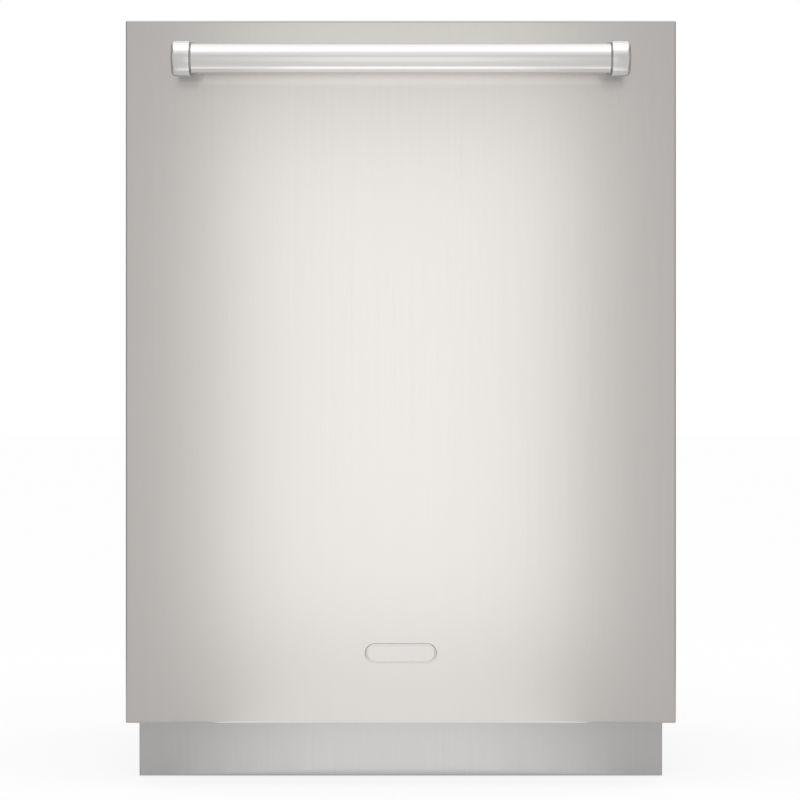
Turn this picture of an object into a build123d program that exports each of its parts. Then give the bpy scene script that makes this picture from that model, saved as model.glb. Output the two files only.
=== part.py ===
# Panel-ready dishwasher of the 24 inch class, in millimetres.
# +X is right, +Y is back and +Z is up. The origin lies on the floor, under the middle of the overall box.
import os
from math import cos, pi, radians, sin

from build123d import *

# Overall sizes
door_width = 597.0
overall_height = 832.0
overall_depth = 660.0
door_bottom_z = 70.0

# Door panel and handle
panel_thickness = 19.0
panel_sheet = 1.2
panel_edge_radius = 2.0
panel_return = 16.0
handle_projection = 68.0
handle_length = 489.0
handle_drop = 47.2
bar_radius = 16.1
cap_radius = 18.85
cap_length = 19.7
cap_edge_radius = 3.0
bar_plug = 12.0
post_width = 27.0
post_height = 36.4
post_corner = 6.0
handle_screw_radius = 3.0
handle_screw_reach = 14.0
badge_width = 78.0
badge_height = 21.0
badge_thickness = 2.4
badge_rise = 76.0

# Door
door_depth = 72.0
door_sheet = 1.0
door_inset = 12.5
liner_flange = 31.0
liner_recess = 8.0
recess_margin_x = 52.0
recess_low = 118.0
recess_high = 62.0
strip_height = 8.5
strip_wall = 2.5
module_depth = 30.0
module_height = 24.0
module_margin = 24.0

# Hinges
hinge_setback = 45.0
hinge_rise = 70.0
hinge_pin_radius = 5.0
arm_sheet = 2.0
arm_width = 26.0
arm_height = 190.0
tail_radius = 50.0
tail_angle = -30.0
spring_radius = 5.5
spring_length = 178.0
link_radius = 1.4

# Cabinet
cabinet_inset = 1.5
side_sheet = 1.0
side_gap = 20.0
side_flange = 9.0
blanket_thickness = 7.0
frame_height = 8.0

# Tub
tub_sheet = 1.0
tub_corner = 14.0
tub_back_corner = 12.0
gasket_space = 12.0
tub_floor_rise = 99.0
tub_top_drop = 24.0
tub_rear_space = 18.0
basin_depth = 19.0
basin_margin_x = 44.0
basin_front = 142.0
basin_back = 26.0
basin_slope = 28.0
gasket_radius = 5.0

# Base
base_floor_z = 14.0
base_rim_z = 60.0
base_wall = 3.0
base_corner = 10.0
kick_setback = 82.0
kick_inset = 7.25
kick_bottom_z = 2.0
kick_top_z = 62.0
kick_flange = 12.0
foot_radius = 20.0
foot_stem_radius = 5.0
foot_stem_length = 66.0
foot_pad_height = 8.0

# Racks and what they run on
lower_rack_z = 200.0
lower_rack_height = 92.0
upper_rack_z = 530.0
upper_rack_height = 104.0
rack_inset = 28.0
rack_front = 105.0
rack_back = 34.0
rack_wire = 3.4
wheel_radius = 18.0
wheel_width = 8.0
wheel_pin_radius = 3.0
wheel_first = 70.0
tine_height = 62.0
rail_height = 24.0
rail_sheet = 1.5
rail_clearance = 0.4

# Spray arms
lower_arm_radius = 196.0
middle_arm_radius = 205.0
top_arm_radius = 150.0
arm_hub_radius = 26.0
arm_tip_radius = 13.0
arm_thickness = 10.0
hub_bore_radius = 12.05

# Clearances
gap = 0.3
running = 0.05

# Places worked out from the sizes above
panel_front_y = handle_projection - overall_depth / 2
rear_y = overall_depth / 2


def behind(depth):
    """The Y of a plane that lies this far behind the front face of the door."""
    return panel_front_y + depth


hinge_y = behind(hinge_setback)
hinge_z = door_bottom_z + hinge_rise
inner_y = behind(door_depth)
door_half = door_width / 2 - door_inset
cabinet_half = door_width / 2 - cabinet_inset
tub_half = cabinet_half - side_sheet - side_gap
tub_front_y = behind(door_depth + gasket_space)
tub_back_y = rear_y - tub_rear_space
tub_floor_z = door_bottom_z + tub_floor_rise
tub_top_z = overall_height - tub_top_drop
tub_inner = tub_half - tub_sheet
tub_centre_y = (inner_y + tub_back_y) / 2
basin_z = tub_floor_z - basin_depth
base_front_y = behind(kick_setback + 50)
ring_half = tub_half - 3.0
ring_front_y = behind(basin_front)
ring_back_y = tub_back_y - 15.0
rack_half = tub_inner - rack_inset
rack_front_y = behind(rack_front)
rack_back_y = tub_back_y - tub_sheet - rack_back
rack_length = rack_back_y - rack_front_y
rail_front_y = behind(door_depth + gasket_space + 8)
rail_back_y = rack_back_y + 4
rail_z = upper_rack_z + 46
handle_z = overall_height - handle_drop
handle_y = panel_front_y - handle_projection + cap_radius
strip_z = overall_height - 3 - strip_height
liner_top_z = strip_z - gap


def block(x, y, z):
    """A box from its (low, high) spans along the three axes."""
    spans = (x, y, z)
    middle = [(low + high) / 2 for low, high in spans]
    return Pos(*middle) * Box(*[high - low for low, high in spans])


def upright(x, z, radius, y):
    """A rounded rectangle seen from the front, as deep as the span y."""
    centre = ((x[0] + x[1]) / 2, y[0], (z[0] + z[1]) / 2)
    face = Plane(origin=centre, x_dir=(1, 0, 0), z_dir=(0, 1, 0)) * RectangleRounded(
        x[1] - x[0], z[1] - z[0], radius
    )
    return extrude(face, amount=y[1] - y[0])


def lying(x, y, radius, z):
    """A rounded rectangle seen from above, as high as the span z."""
    centre = ((x[0] + x[1]) / 2, (y[0] + y[1]) / 2, z[0])
    face = Plane(origin=centre) * RectangleRounded(x[1] - x[0], y[1] - y[0], radius)
    return extrude(face, amount=z[1] - z[0])


def rod(start, end, radius):
    """A round rod between two points."""
    way = Vector(*end) - Vector(*start)
    return extrude(Plane(origin=start, z_dir=way) * Circle(radius), amount=way.length)


def prism(start, end, radius, sides):
    """A straight bar with a regular outline between two points."""
    way = Vector(*end) - Vector(*start)
    return extrude(Plane(origin=start, z_dir=way) * RegularPolygon(radius, sides), amount=way.length)


def clear_prism(start, end, radius, sides):
    """A cut with a regular outline whose flats lie just outside a circle of this radius."""
    return prism(start, end, radius / cos(pi / sides), sides)


def side_profile(x):
    """The plane whose first axis is +Y and whose second is +Z, at this X. It faces +X."""
    return Plane(origin=(x, 0, 0), x_dir=(0, 1, 0), z_dir=(1, 0, 0))


def link_outline(first, first_radius, second, second_radius):
    """The outline of a flat bar between two round ends, on the current plane's axes."""
    ends = Pos(*first) * Circle(first_radius) + Pos(*second) * Circle(second_radius)
    return make_hull(ends.edges())


def mirrored(shape):
    return mirror(shape, about=Plane.YZ)


def write(name, *solids):
    """One file for a piece: one solid, or a group of separate ones."""
    shapes = [one for solid in solids for one in solid.solids()]
    export_step(shapes[0] if len(shapes) == 1 else Compound(children=shapes), f"parts/{name}.step")


# Door panel, handle and plate


def door_panel():
    """A folded sheet panel: a flat front, four edges and the returns behind them."""
    half = door_width / 2
    outer = block((-half, half), (panel_front_y, behind(panel_thickness)), (door_bottom_z, overall_height))
    front = outer.faces().sort_by(Axis.Y)[0]
    outer = fillet(front.edges(), panel_edge_radius)
    inner = block(
        (panel_sheet - half, half - panel_sheet),
        (behind(panel_sheet), behind(panel_thickness - panel_sheet)),
        (door_bottom_z + panel_sheet, overall_height - panel_sheet),
    )
    mouth = block(
        (panel_return - half, half - panel_return),
        (behind(panel_sheet), behind(panel_thickness + 1)),
        (door_bottom_z + panel_return, overall_height - panel_return),
    )
    holes = [
        clear_prism((x, behind(-1), z), (x, behind(panel_sheet + 1), z), handle_screw_radius + running, 8)
        for x, z in handle_screw_places()
    ]
    return outer - inner - mouth - holes


def post_centre():
    """How far the middle of a handle post is from the middle of the handle."""
    return handle_length / 2 - post_width / 2 - 1


def handle_screw_places():
    """The X and Z of the screws, one in the middle of each post."""
    return [(side * post_centre(), handle_z) for side in (-1, 1)]


def handle_bar():
    """The grip tube, open at its ends, which the end pieces plug."""
    reach = handle_length / 2 - cap_length + bar_plug
    tube = rod((-reach, handle_y, handle_z), (reach, handle_y, handle_z), bar_radius)
    bore = prism((-reach - 1, handle_y, handle_z), (reach + 1, handle_y, handle_z), bar_radius - 2, 16)
    return tube - bore


def handle_end(side):
    """A cast end: a collar round the bar's end with a bevelled outer rim, and the post behind it."""
    outer = handle_length / 2
    collar = rod((outer, handle_y, handle_z), (outer - cap_length, handle_y, handle_z), cap_radius)
    rim = collar.edges().filter_by(GeomType.CIRCLE).sort_by(Axis.X)[-1]
    collar = chamfer(rim, cap_edge_radius / 2)
    low = post_centre() - post_width / 2
    high = post_centre() + post_width / 2
    foot = block(
        (low, high), (handle_y, panel_front_y), (handle_z - post_height / 2, handle_z + post_height / 2)
    )
    foot = chamfer(foot.edges().filter_by(Axis.Y), post_corner / 2)
    socket = rod(
        (low - 1, handle_y, handle_z),
        (outer - cap_length + bar_plug + running, handle_y, handle_z),
        bar_radius + running,
    )
    hole = clear_prism(
        (post_centre(), panel_front_y + 1, handle_z),
        (post_centre(), panel_front_y - handle_screw_reach, handle_z),
        handle_screw_radius + running,
        8,
    )
    end = foot + collar - socket - hole
    return end if side > 0 else mirrored(end)


def handle_screws():
    """The screws that hold the posts from inside the panel."""
    screws = []
    for x, z in handle_screw_places():
        under = behind(panel_sheet)
        head = prism((x, under, z), (x, under + 4, z), 6.5, 6)
        shank = prism((x, under, z), (x, behind(1 - handle_screw_reach), z), handle_screw_radius, 8)
        screws.append(head + shank)
    return screws


def badge_plate():
    """A bare pill-shaped plate, low on the panel."""
    middle_z = door_bottom_z + badge_rise
    face = Plane(origin=(0, panel_front_y, middle_z), x_dir=(1, 0, 0), z_dir=(0, -1, 0))
    plate = extrude(face * SlotOverall(badge_width, badge_height), amount=badge_thickness)
    rim = plate.faces().sort_by(Axis.Y)[0]
    return chamfer(rim.edges(), 0.8)


# Door shell, liner and what they hold


def module_window():
    """The cut that lets the electronics box hang down into the door."""
    half = door_half - module_margin + 1
    return block(
        (-half, half),
        (behind(button_y - module_depth / 2 - 1), behind(button_y + module_depth / 2 + 1)),
        (strip_z - 8, strip_z + 1),
    )


def door_shell():
    """The sheet pan behind the panel, whose edges stand inside the liner's."""
    half = door_half - door_sheet - gap
    low = door_bottom_z + 4 + door_sheet + gap
    high = liner_top_z - door_sheet - gap
    front = behind(panel_thickness)
    back = behind(door_depth - liner_flange + 14)
    pan = block((-half, half), (front, back), (low, high))
    hollow = block(
        (door_sheet - half, half - door_sheet),
        (front + door_sheet, back + 1),
        (low + door_sheet, high - door_sheet),
    )
    slot = block((-latch_half, latch_half), (front + 12, back + 1), (high - 3, high + 1))
    return pan - hollow - slot - module_window()


latch_half = 16.0
strike_z = strip_z + 4.4
strike_sheet = 1.6
dispenser_x = 0.0
dispenser_z = door_bottom_z + 360.0
dispenser_width = 178.0
dispenser_height = 128.0
dispenser_corner = 9.0
dispenser_depth = 26.0


def inner_liner():
    """The pressed inner face of the door, with its flanges and its sunk middle."""
    low = door_bottom_z + 4
    front = behind(door_depth - liner_flange)
    half = door_half
    outer = block((-half, half), (front, inner_y), (low, liner_top_z))
    cavity = block(
        (door_sheet - half, half - door_sheet),
        (front - 1, inner_y - door_sheet),
        (low + door_sheet, liner_top_z - door_sheet),
    )
    sink_x = half - recess_margin_x
    sink_low = low + recess_low
    sink_high = liner_top_z - recess_high
    press = upright((-sink_x, sink_x), (sink_low, sink_high), 24, (inner_y - liner_recess, inner_y + 1))
    back = upright(
        (-sink_x - door_sheet, sink_x + door_sheet),
        (sink_low - door_sheet, sink_high + door_sheet),
        24 + door_sheet,
        (inner_y - liner_recess - door_sheet, inner_y),
    )
    liner = outer - (cavity - back) - press
    window = block(
        (dispenser_x - dispenser_width / 2 - gap, dispenser_x + dispenser_width / 2 + gap),
        (inner_y - liner_recess - 5, inner_y),
        (dispenser_z - dispenser_height / 2 - gap, dispenser_z + dispenser_height / 2 + gap),
    )
    window = chamfer(window.edges().filter_by(Axis.Y), dispenser_corner)
    slot = block((-latch_half, latch_half), (behind(33), inner_y - 3), (liner_top_z - 3, liner_top_z + 1))
    return liner - window - slot - module_window()


def door_insulation():
    """The felt pad between shell and liner, cut out round the dispenser."""
    half = door_half - 6
    pad = block(
        (-half, half),
        (behind(panel_thickness) + door_sheet + gap, behind(door_depth - 12)),
        (door_bottom_z + 30, strip_z - 34),
    )
    room = block(
        (dispenser_x - dispenser_width / 2 - 4, dispenser_x + dispenser_width / 2 + 4),
        (behind(door_depth - dispenser_depth - 14), inner_y),
        (dispenser_z - dispenser_height / 2 - 4, dispenser_z + dispenser_height / 2 + 4),
    )
    return pad - room


button_places = {"power_button": -232.0, "program_button": 96.0, "start_button": 232.0}
button_width = 26.0
button_depth = 12.0
button_y = 42.0


def control_strip():
    """The moulded cap on the door's top edge, with a hollow underside and a box for the electronics."""
    half = door_half
    cap = block((-half, half), (behind(panel_thickness + 0.5), inner_y), (strip_z, strip_z + strip_height))
    rims = cap.faces().sort_by(Axis.Z)[-1].edges()
    cap = chamfer(rims, 1.2)
    hollow = block(
        (strip_wall - half, half - strip_wall),
        (behind(panel_thickness + 0.5) + strip_wall, inner_y - strip_wall),
        (strip_z - 1, strip_z + strip_height - strip_wall),
    )
    middle = (behind(button_y - module_depth / 2), behind(button_y + module_depth / 2))
    box_half = half - module_margin
    box = block((-box_half, box_half), middle, (strip_z - module_height, strip_z + strip_height - strip_wall))
    room = block(
        (base_wall - box_half, box_half - base_wall),
        (middle[0] + 2, middle[1] - 2),
        (strip_z - module_height + 2, strip_z + strip_height),
    )
    latch_room = block(
        (-latch_half - 6, latch_half + 6),
        (behind(18), behind(door_depth + 1)),
        (strip_z - 60, strip_z + strip_height - strip_wall),
    )
    strip = cap - hollow + (box - room) - latch_room
    for x in button_places.values():
        strip -= block(
            (x - button_width / 2 - gap, x + button_width / 2 + gap),
            (behind(button_y) - button_depth / 2 - gap, behind(button_y) + button_depth / 2 + gap),
            (strip_z, strip_z + strip_height + 1),
        )
    return strip


def push_button(x):
    """A key with a domed top and a wider foot that keeps it in its hole."""
    top = strip_z + strip_height + 0.8
    under = strip_z + strip_height - strip_wall - gap
    key = block(
        (x - button_width / 2, x + button_width / 2),
        (behind(button_y) - button_depth / 2, behind(button_y) + button_depth / 2),
        (under - 2, top),
    )
    key = chamfer(key.faces().sort_by(Axis.Z)[-1].edges(), 0.6)
    foot = block(
        (x - button_width / 2 - 2, x + button_width / 2 + 2),
        (behind(button_y) - button_depth / 2 - 2, behind(button_y) + button_depth / 2 + 2),
        (under - 2, under),
    )
    return key + foot


def latch_hook():
    """The catch that draws the strike in, on its own cross pin."""
    pivot = (behind(36), strip_z - 10)
    boss = Pos(*pivot) * RegularPolygon(5, 10)
    y, z = pivot
    tip_z = strip_z + 3.9
    lever = make_face(Polyline(
        (y - 2, z - 4.5), (y + 30, z + 6), (y + 30, tip_z), (y + 26, tip_z), (y + 25, z + 12), (y, z + 4.5),
        close=True,
    ))
    hook = extrude(side_profile(-6) * (boss + lever), amount=12)
    pin = prism((-latch_half - 2, *pivot), (latch_half + 2, *pivot), 2.5, 8)
    return hook + pin


def dispenser_housing():
    """The moulded box in the liner that holds detergent and rinse aid."""
    face_y = inner_y - liner_recess
    rim = upright(
        (dispenser_x - dispenser_width / 2 - 5, dispenser_x + dispenser_width / 2 + 5),
        (dispenser_z - dispenser_height / 2 - 5, dispenser_z + dispenser_height / 2 + 5),
        2 * dispenser_corner,
        (face_y, face_y + 2.5),
    )
    body = block(
        (dispenser_x - dispenser_width / 2, dispenser_x + dispenser_width / 2),
        (face_y - dispenser_depth, face_y + 1),
        (dispenser_z - dispenser_height / 2, dispenser_z + dispenser_height / 2),
    )
    body = chamfer(body.edges().filter_by(Axis.Y), dispenser_corner)
    cup = block(
        (cup_x - cup_width / 2, cup_x + cup_width / 2),
        (face_y - dispenser_depth + 3, face_y + 3),
        (cup_z - cup_height / 2, cup_z + cup_height / 2),
    )
    cap_seat = clear_prism(
        (rinse_x, face_y - 12, rinse_z), (rinse_x, face_y + 4, rinse_z), rinse_radius + running, 16
    )
    guides = [
        block(
            (cup_x + side * (cup_width / 2 + 7) - 2, cup_x + side * (cup_width / 2 + 7) + 2),
            (face_y + 2, face_y + 5.5),
            (cup_z - cup_height / 2 - 2, dispenser_z + dispenser_height / 2 - 4),
        )
        for side in (-1, 1)
    ]
    return rim + body - cup - cap_seat + guides


cup_x = dispenser_x - 34.0
cup_z = dispenser_z - 26.0
cup_width = 74.0
cup_height = 56.0
rinse_x = dispenser_x + 52.0
rinse_z = dispenser_z + 4.0
rinse_radius = 21.0


def dispenser_lid():
    """The sliding lid over the detergent cup, with a thumb ridge."""
    face_y = inner_y - liner_recess + 2.5 + gap
    half = cup_width / 2 + 4.6
    lid = block(
        (cup_x - half, cup_x + half),
        (face_y, face_y + 2.2),
        (cup_z - cup_height / 2 - 3, cup_z + cup_height / 2 + 3),
    )
    lid = chamfer(lid.edges().filter_by(Axis.Y), 3)
    ridge = block((cup_x - 16, cup_x + 16), (face_y + 2, face_y + 4.4), (cup_z - 6, cup_z - 2))
    return lid + ridge


def rinse_aid_cap():
    """The quarter-turn cap of the rinse aid tank, with its grip bar."""
    face_y = inner_y - liner_recess
    disc = rod((rinse_x, face_y - 11, rinse_z), (rinse_x, face_y + 3.5, rinse_z), rinse_radius)
    grip = block((rinse_x - 17, rinse_x + 17), (face_y + 3, face_y + 7.5), (rinse_z - 3, rinse_z + 3))
    return disc + grip


def door_seal():
    """The rubber lip along the bottom of the door's inner face."""
    low = tub_floor_z + 4
    base = block((30 - door_half, door_half - 30), (inner_y, inner_y + 1.6), (low, low + 9))
    lip = block((30 - door_half, door_half - 30), (inner_y + 1, inner_y + 3.4), (low + 6, low + 9))
    return base + lip


# Hinges


def tail_tip():
    """The Y and Z of the spring's hole in the arm's tail."""
    angle = radians(tail_angle)
    return hinge_y + tail_radius * cos(angle), hinge_z + tail_radius * sin(angle)


arm_inner_x = door_half + 0.5
bracket_inner_x = arm_inner_x + arm_sheet + 1.0
spring_x = arm_inner_x + 1.0


def hinge_arm(side):
    """The steel arm on the door's edge: a strip up the door, the pivot eye and the spring's tail."""
    tip = tail_tip()
    half = arm_width / 2
    strip = Pos(hinge_y, hinge_z + arm_height / 2) * Rectangle(arm_width - 6, arm_height)
    tail = link_outline((hinge_y, hinge_z), half, tip, 7)
    eye = Pos(hinge_y, hinge_z) * RegularPolygon((hinge_pin_radius + running) / cos(pi / 12), 12)
    arm = extrude(side_profile(arm_inner_x) * (strip + tail - eye), amount=arm_sheet)
    return arm if side > 0 else mirrored(arm)


def hinge_bracket(side):
    """The folded bracket on the base that carries the door's pivot pin."""
    x = bracket_inner_x
    nose = link_outline((hinge_y, hinge_z), 13, (behind(150), hinge_z + 1), 13)
    plate = Pos((behind(136) + behind(236)) / 2, (base_rim_z + gap + hinge_z + 14) / 2) * Rectangle(
        100, hinge_z + 14 - base_rim_z - gap
    )
    side_plate = extrude(side_profile(x) * (nose + plate), amount=arm_sheet)
    under = base_rim_z + gap
    foot = block((ring_half + 1, x + 0.5), (behind(136), behind(236)), (under, under + 2))
    pin_ends = ((arm_inner_x - gap, hinge_y, hinge_z), (x + arm_sheet, hinge_y, hinge_z))
    pin = prism(*pin_ends, hinge_pin_radius, 12)
    bracket = side_plate + foot + pin
    return bracket if side > 0 else mirrored(bracket)


def door_spring(side):
    """The balance spring with the wire that ties it to the arm's tail, drawn at rest."""
    tip = tail_tip()
    start = (spring_x, tip[0] + 9, tip[1] - 0.6)
    joint = (spring_x, tip[0] + 175, tip[1] - 8)
    wire = prism(start, joint, link_radius, 5)
    barrel = prism(joint, (spring_x, joint[1] + spring_length, joint[2] - 8), spring_radius, 10)
    spring = wire + barrel
    return spring if side > 0 else mirrored(spring)


# Tub and seals


def tub_shell(inset, front_y, low_z):
    """The block of the tub's walls with its round top corners, this far inside the outer skin."""
    half = tub_half - inset
    body = block((-half, half), (front_y, tub_back_y - inset), (low_z, tub_top_z - inset))
    body = fillet(body.edges().filter_by(Axis.Y).group_by(Axis.Z)[-1], tub_corner - inset)
    back = body.faces().sort_by(Axis.Y)[-1]
    rims = back.edges().sort_by(Axis.Z)[1:]
    return chamfer(rims, tub_back_corner - inset)


def basin_shape(inset):
    """The sloped basin under the floor, this far inside its outer skin."""
    half = tub_half - basin_margin_x - inset
    front = ring_front_y + base_wall + 2 + inset
    rear = tub_back_y - basin_back - inset
    middle = (front + rear) / 2
    top = Plane(origin=(0, middle, tub_floor_z + inset + 1)) * Rectangle(2 * half, rear - front)
    foot = Plane(origin=(0, middle, basin_z + inset)) * Rectangle(
        2 * half - 2 * basin_slope, rear - front - 2 * basin_slope
    )
    return loft([foot, top])


sump_radius = 112.0
sump_centre_y = tub_centre_y - 12.0
filter_x = 56.0
filter_y = sump_centre_y - 36.0
filter_radius = 34.0
pedestal_radius = 12.0


def tub():
    """The stainless walls and top, open at the front, with a flange for the seal."""
    low = tub_floor_z + tub_sheet
    shell = tub_shell(0, tub_front_y, low) - tub_shell(tub_sheet, tub_front_y - 1, low - 1)
    flange = block((-door_half, door_half), (tub_front_y, tub_front_y + tub_sheet), (low, liner_top_z - 2))
    half = tub_inner
    mouth = block((-half, half), (tub_front_y - 1, tub_front_y + 3), (low - 1, tub_top_z - tub_sheet))
    mouth = fillet(mouth.edges().filter_by(Axis.Y).group_by(Axis.Z)[-1], tub_corner - tub_sheet)
    return shell + (flange - mouth)


def tub_floor():
    """The stainless floor that the walls stand on: a plate with its sunk basin, and a sill under the door."""
    plate = block((-tub_half, tub_half), (tub_front_y, tub_back_y), (tub_floor_z, tub_floor_z + tub_sheet))
    plate = chamfer(plate.edges().filter_by(Axis.Z).group_by(Axis.Y)[-1], tub_back_corner)
    sill = block(
        (tub_corner - tub_half, tub_half - tub_corner),
        (inner_y + 4, tub_front_y + 1),
        (tub_floor_z, tub_floor_z + tub_sheet),
    )
    drain = prism((0, sump_centre_y, basin_z - 1), (0, sump_centre_y, basin_z + 3), sump_radius - 6, 8)
    return plate + sill + basin_shape(0) - basin_shape(tub_sheet) - drain


def tub_gasket():
    """The rubber bulb round the sides and top of the tub's mouth."""
    y = tub_front_y - gap - gasket_radius
    x = tub_inner + gasket_radius + 0.5
    low = tub_floor_z + 6
    high = tub_top_z - tub_sheet + gasket_radius + 0.5
    path = FilletPolyline((-x, y, low), (-x, y, high), (x, y, high), (x, y, low), radius=tub_corner)
    section = Plane(origin=(-x, y, low)) * RegularPolygon(gasket_radius, 6)
    bulb = sweep(section, path=path)
    return bulb


def tub_blanket():
    """The felt blanket over the tub's top and down its back."""
    half = tub_half - 6
    low = tub_top_z + gap
    near = tub_back_y + gap
    top = block((-half, half), (tub_front_y + 40, near + blanket_thickness), (low, low + blanket_thickness))
    back = block((-half, half), (near, near + blanket_thickness), (tub_floor_z + 50, low + 1))
    return top + back


# Cabinet sides and frame


def side_panel(side):
    """A painted sheet side with folded edges, cut back at the front below the hinge."""
    front = tub_front_y + tub_sheet + 1
    low_front = behind(118)
    back = rear_y - 2
    low = base_rim_z + 2
    high = overall_height - 4
    notch_z = hinge_z + 66
    outline = Polyline(
        (low_front, low), (back, low), (back, high), (front, high), (front, notch_z), (low_front, notch_z),
        close=True,
    )
    inner_x = cabinet_half - side_sheet
    sheet = extrude(side_profile(inner_x) * make_face(outline), amount=side_sheet)
    folds = [
        block((cabinet_half - side_flange, inner_x + 0.5), (front, front + side_sheet), (notch_z, high)),
        block((cabinet_half - side_flange, inner_x + 0.5), (back - side_sheet, back), (low, high)),
        block((cabinet_half - side_flange, inner_x + 0.5), (front, back), (high - side_sheet, high)),
    ]
    beads = [
        block(
            (cabinet_half - side_sheet - 2.2, cabinet_half - side_sheet + 0.2),
            (y - 9, y + 9),
            (notch_z + 40, high - 60),
        )
        for y in (front + 150, front + 330)
    ]
    panel = sheet + folds + beads
    return panel if side > 0 else mirrored(panel)


def top_frame():
    """The steel ring over the tub: it ties the sides together and its tongue is the door's strike."""
    low = overall_height - 5.3 - frame_height
    half = cabinet_half - side_sheet - gap
    front = tub_front_y + 16
    back = rear_y - 8
    ring = block((-half, half), (front, back), (low, low + frame_height))
    window = block((24 - half, half - 24), (front + 26, back - 24), (low - 1, low + frame_height + 1))
    under = (low - 1, low + frame_height - 1.2)
    channel_front = block((26 - half, half - 26), (front + 1.2, front + 24.8), under)
    channel_back = block((26 - half, half - 26), (back - 22.8, back - 1.2), under)
    tongue = lying((-10, 10), (behind(57), front + 1), 3, (strike_z, strike_z + strike_sheet))
    window_y = (behind(60), behind(66.5))
    strike = tongue - block((-6.5, 6.5), window_y, (strike_z - 1, strike_z + strike_sheet + 1))
    return ring - window - channel_front - channel_back + strike


bracket_spacing = 440.0
bracket_screw_radius = 2.4


def countertop_brackets():
    """The two plates whose screws go up into the worktop."""
    top = overall_height - 5.3
    plates = []
    for side in (-1, 1):
        x = side * bracket_spacing / 2
        plate = block((x - 14, x + 14), (inner_y + 6, tub_front_y + 44), (top, top + 1.5))
        hole = rod((x, inner_y + 14, top - 1), (x, inner_y + 14, top + 3), bracket_screw_radius)
        plates.append(chamfer(plate.edges().filter_by(Axis.Z), 4) - hole)
    return plates


# Base and feet


foot_places = {
    "front_foot_left": [(-242.0, 190.0)],
    "front_foot_right": [(242.0, 190.0)],
    "rear_feet": [(-242.0, 548.0), (242.0, 548.0)],
}


def base_pan():
    """The moulded base: a tray, the ring that carries the tub, bosses for the feet, arms for the kick."""
    half = cabinet_half - 7
    tray = block((-half, half), (base_front_y, rear_y), (base_floor_z, base_rim_z))
    tray = chamfer(tray.edges().filter_by(Axis.Z), base_corner)
    inner_half = half - base_wall
    well = block(
        (-inner_half, inner_half),
        (base_front_y + base_wall, rear_y - base_wall),
        (base_floor_z + base_wall, base_rim_z + 1),
    )
    well = chamfer(well.edges().filter_by(Axis.Z), base_corner - base_wall)
    ledges = [
        block(
            sorted((side * (ring_half - base_wall), side * (half - base_wall / 2))),
            (ring_front_y, ring_back_y),
            (base_rim_z - base_wall, base_rim_z),
        )
        for side in (-1, 1)
    ]
    ring_low = base_rim_z - base_wall
    ring = block((-ring_half, ring_half), (ring_front_y, ring_back_y), (ring_low, tub_floor_z - gap))
    ring_room = block(
        (base_wall - ring_half, ring_half - base_wall),
        (ring_front_y + base_wall, ring_back_y - base_wall),
        (base_rim_z - 2 * base_wall, tub_floor_z + 1),
    )
    through = (ring_front_y - 1, ring_front_y + base_wall + 1)
    service = block((-190, 190), through, (base_rim_z + 6, basin_z - 12))
    places = [place for group in foot_places.values() for place in group]
    bosses = [prism((x, behind(d), base_floor_z), (x, behind(d), base_rim_z - 4), 11, 8) for x, d in places]
    bores = [
        clear_prism(
            (x, behind(d), base_floor_z - 2), (x, behind(d), base_rim_z + 30), foot_stem_radius + running, 10
        )
        for x, d in places
    ]
    kick_arms = [
        block((x - 12, x + 12), (behind(kick_setback) + 1.5, base_front_y + 1), (22, 52)) for x in (-200, 200)
    ]
    arm_rooms = [
        block((x - 9, x + 9), (behind(kick_setback) + 4.5, base_front_y - 1), (25, 53)) for x in (-200, 200)
    ]
    base = tray - well + ledges + (ring - ring_room - service) + bosses + kick_arms - arm_rooms - bores
    hook_y, hook_z = spring_end()
    pins = [
        prism((side * (ring_half - 1), hook_y, hook_z), (side * (spring_x + 4), hook_y, hook_z), 3, 6)
        for side in (-1, 1)
    ]
    return base + pins


def spring_end():
    """The Y and Z of the post on the base that the spring hooks onto."""
    tip = tail_tip()
    return tip[0] + 175 + spring_length + 3.4, tip[1] - 16


def kick_panel():
    """The recessed sheet below the door, with its folded top and bottom edges."""
    half = door_width / 2 - kick_inset
    front = behind(kick_setback)
    panel = block((-half, half), (front, front + kick_flange), (kick_bottom_z, kick_top_z))
    room = block(
        (1.2 - half, half - 1.2),
        (front + 1.2, front + kick_flange + 1),
        (kick_bottom_z + 1.2, kick_top_z - 1.2),
    )
    arms = [
        block((x - 12.4, x + 12.4), (front + 1.2, front + kick_flange + 1), (21.6, 52.4)) for x in (-200, 200)
    ]
    return fillet(panel.faces().sort_by(Axis.Y)[0].edges(), 1.0) - room - arms


def levelling_foot(x, depth):
    """A foot: a twelve-sided pad, a hexagon for the spanner and a threaded stem that screws into the base."""
    y = behind(depth)
    pad = prism((x, y, 0), (x, y, foot_pad_height), foot_radius, 12)
    nut = prism((x, y, foot_pad_height), (x, y, foot_pad_height + 4), 9, 6)
    stem = prism((x, y, foot_pad_height), (x, y, foot_pad_height + foot_stem_length), foot_stem_radius, 8)
    return pad + nut + stem


# Water path


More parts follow.
